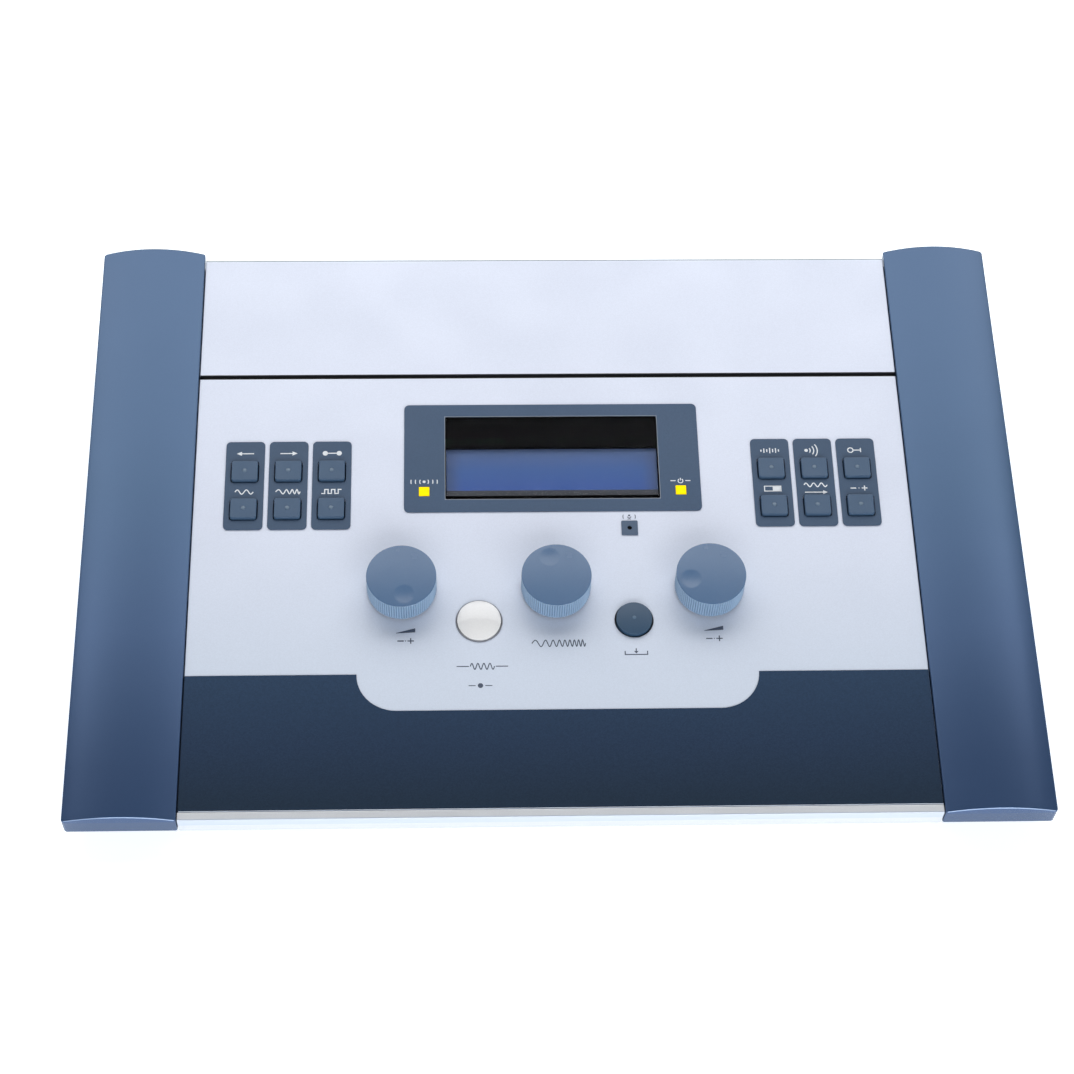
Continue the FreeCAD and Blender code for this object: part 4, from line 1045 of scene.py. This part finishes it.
knobRibLook = {
    "ribs": 86, "perRib": 8, "depthMm": 0.4, "ribPower": 0.8, "grooveShadeShare": 0.62,
    "rimMm": 0.65, "edgeMm": 0.25, "footMm": 0.3, "crownMm": 0.35, "ledgeMm": 0.05,
    "hollowRadius": 9.5, "hollowDeep": 4.0, "boreRadius": 3.0, "boreDeep": 4.5,
    "dimpleRadius": 3.9, "dimpleDeep": 0.24, "dimplePower": 1.2, "dimpleFromAxis": 8.0,
    "topRings": 32, "edgeRings": 5, "sideRings": 4, "creaseDegrees": 35,
}
dimpleTurns = {"volume": -82, "frequency": 108, "level": 196}   # degrees from the knob's right


def makeKnob(dial):
    look = knobRibLook
    u0, u1, v0, v1, low, top = span(dial + "_knob")
    radius = (u1 - u0) / 2
    height = top - low
    turn = math.radians(dimpleTurns[dial])
    dimpleX, dimpleY = look["dimpleFromAxis"] * math.cos(turn), look["dimpleFromAxis"] * math.sin(turn)
    ribTop, ribFoot = height - look["rimMm"], look["footMm"]
    edge, shoulder = look["edgeMm"], height - look["crownMm"]
    flat = radius - edge
    steps = look["ribs"] * look["perRib"]

    def ribbed(r, h, k):
        if r < radius - look["depthMm"] or not ribFoot <= h <= ribTop:
            return r
        wave = 0.5 + 0.5 * math.cos(2 * math.pi * k / look["perRib"])
        return r - look["depthMm"] * (1 - wave ** look["ribPower"])

    def dimpled(x, y, h):
        if h < height - 0.01:       # only the crown is domed and dimpled
            return h
        crowned = h - look["crownMm"] * (math.hypot(x, y) / flat) ** 2
        away = math.hypot(x - dimpleX, y - dimpleY) / look["dimpleRadius"]
        if away >= 1:
            return crowned
        return crowned - look["dimpleDeep"] * (1 - away * away) ** look["dimplePower"]

    profile = [(flat * k / look["topRings"], height) for k in range(look["topRings"] + 1)]
    for k in range(1, look["edgeRings"] + 1):
        angle = math.pi / 2 * k / look["edgeRings"]
        profile.append((flat + edge * math.sin(angle), shoulder - edge + edge * math.cos(angle)))
    profile += [(radius, ribTop + look["ledgeMm"]), (radius, ribTop)]
    for k in range(1, look["sideRings"] + 1):
        profile.append((radius, ribTop + (ribFoot - ribTop) * k / look["sideRings"]))
    roof = look["hollowDeep"]
    bore = roof + look["boreDeep"]
    profile += [
        (radius - look["footMm"], 0), (look["hollowRadius"], 0), (look["hollowRadius"], roof),
        (look["boreRadius"], roof), (look["boreRadius"], bore), (0, bore),
    ]
    mesh = turned(dial + "_grip", profile, steps, ribbed, dimpled)
    smoothBy(mesh, look["creaseDegrees"])
    place = onDeck((u0 + u1) / 2, (v0 + v1) / 2, low)
    piece = addPiece(dial + "_grip", mesh, knobPlastic, place, dial + "_dial")
    # the ribbed side is painted lighter as if lit, with painted shade in its grooves
    mesh.materials.append(knobSideLit)
    mesh.materials.append(knobGrooveShade)
    grooveShadeFrom = radius - look["depthMm"] * look["grooveShadeShare"]
    for face in mesh.polygons:
        out = math.hypot(face.center.x, face.center.y) / mm
        if out > look["hollowRadius"] and abs(face.normal.z) < 0.5:     # the side, not the top
            inGrooveShade = out < grooveShadeFrom and ribFoot * mm < face.center.z < ribTop * mm
            face.material_index = 2 if inGrooveShade else 1
    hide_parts(dial + "_knob")


for dial in dimpleTurns:
    makeKnob(dial)
print("knobs:", len(dimpleTurns))


pipSizes = {
    "keyRadius": 0.9, "storeRadius": 0.8, "riseMm": 0.2, "keySunk": 0.1, "storeSunk": 0.05,
    "sides": 24, "creaseDegrees": 50,
}


def addPip(node, kind, material):
    radius, rise = pipSizes[kind + "Radius"], pipSizes["riseMm"]
    profile = [(0, rise), (radius * 0.5, rise * 0.85), (radius * 0.85, rise * 0.45), (radius, 0), (0, 0)]
    mesh = turned(node + "_dot", profile, pipSizes["sides"])
    smoothBy(mesh, pipSizes["creaseDegrees"])
    u, v, top = middle(node)
    place = onDeck(u, v, top - pipSizes[kind + "Sunk"])
    addPiece(node + "_dot", mesh, material, place, node)


def makePips():     # the small light dot in the middle of each key and of the store button
    for side in sides:
        for count in keyNumbers:
            addPip(f"key_{side}_{count}", "key", pipPlastic)
    addPip("store_button", "store", storePipPlastic)


makePips()


trimLook = {"widthMm": 0.18, "gapMm": 0.1}


def makeWindowTrim():       # the thin light line round the window, at the bezel film's cut edge
    out = trimLook["gapMm"] + trimLook["widthMm"] / 2
    u0, u1, v0, v1 = span("display_lens")[:4]
    left, right, front, rear = u0 - out, u1 + out, v0 - out, v1 + out
    corners = [(left, front), (right, front), (right, rear), (left, rear)]
    mesh = inkMesh("window_trim", [stroke(corners, trimLook["widthMm"], closed=True)])
    level = span("display_bezel")[5]
    addPiece("window_trim", mesh, paleEdgeLine, onDeck(0, 0, level), console)


makeWindowTrim()
print("display trimmed")


# Floor, light and camera
studio = {      # the walls are pale, the ceiling dark
    "floorSize": 12.0, "walls": (0.93, 0.96, 1.0), "wallLight": 0.9, "ceilingLight": 0.02,
    "wallTop": 12, "ceilingEdge": 45,       # degrees above the horizon
}
floorLook = {
    "base": tint(243, 248, 252), "shade": tint(240, 246, 250), "patchMm": 400,
    "roughness": 0.9, "specular": 0.2, "light": 0.74,
}
softboxes = {       # place, size, watts, colour
    "rearSoftbox": ((0.0, 0.936, 1.228), (2.8, 1.06), 25, (1.0, 1.0, 1.0)),
    "frontSoftbox": ((0.3, -1.9, 0.8), (2.0, 1.0), 26, (1.0, 1.0, 1.0)),
}
aimPoint = Vector((0, 0, 0.03))


def lookAt(thing, at, target, roll=0.0):
    facing = (target - at).to_track_quat("-Z", "Y").to_matrix().to_4x4()
    thing.matrix_world = Matrix.Translation(at) @ facing @ Matrix.Rotation(roll, 4, "Z")


def makeRoom():
    world = bpy.data.worlds.new("paleRoom")
    world.use_nodes = True
    room = world.node_tree
    where = put(room, "ShaderNodeTexCoord")
    parts = put(room, "ShaderNodeSeparateXYZ", {"Vector": (where, "Generated")})
    start, stop = (math.sin(math.radians(studio[name])) for name in ("wallTop", "ceilingEdge"))
    height = ranged(room, (parts, "Z"), start, stop, studio["wallLight"], studio["ceilingLight"])
    fill(room, room.nodes["Background"], {"Color": (*studio["walls"], 1), "Strength": height})
    bpy.context.scene.world = world


def makeSoftboxes():
    for name, (at, size, watts, tone) in softboxes.items():
        lamp = bpy.data.lights.new(name, "AREA")
        lamp.shape = "RECTANGLE"
        lamp.size, lamp.size_y = size
        lamp.energy = watts
        lamp.color = tone
        lookAt(inScene(name, lamp), Vector(at), aimPoint)


def makeFloor():
    half = studio["floorSize"] / 2
    corners = [(-half, -half, 0), (half, -half, 0), (half, half, 0), (-half, half, 0)]
    mesh = bpy.data.meshes.new("floor")
    mesh.from_pydata(corners, [], [(0, 1, 2, 3)])
    material, tree, skin = blank("paleFloor")
    lit(tree, skin, drifting(tree, floorLook["base"], floorLook["shade"], floorLook["patchMm"]), floorLook)
    fill(tree, skin, {"Roughness": floorLook["roughness"]})
    mesh.materials.append(material)
    inScene("floor", mesh)


viewpoint = {       # degrees, metres, and the lens and the sensor's width in mm
    "azimuth": -3.015, "elevation": 50.97, "roll": 1.93, "distance": 0.96394, "lens": 84.19, "sensor": 36,
    "aim": (-0.00658, -0.00801, 0.03238),
}


def makeCamera():
    camera = bpy.data.cameras.new("viewer")
    camera.lens = viewpoint["lens"]
    camera.sensor_width = viewpoint["sensor"]
    camera.clip_start = 0.01
    viewer = inScene("viewer", camera)
    azimuth, elevation = math.radians(viewpoint["azimuth"]), math.radians(viewpoint["elevation"])
    back = Vector((math.sin(azimuth) * math.cos(elevation), -math.cos(azimuth) * math.cos(elevation),
                   math.sin(elevation)))
    aim = Vector(viewpoint["aim"])
    lookAt(viewer, aim + back * viewpoint["distance"], aim, math.radians(viewpoint["roll"]))
    bpy.context.scene.camera = viewer


makeRoom()
makeSoftboxes()
makeFloor()
makeCamera()
bpy.context.scene.view_settings.view_transform = "Standard"
print("studio and camera ready")
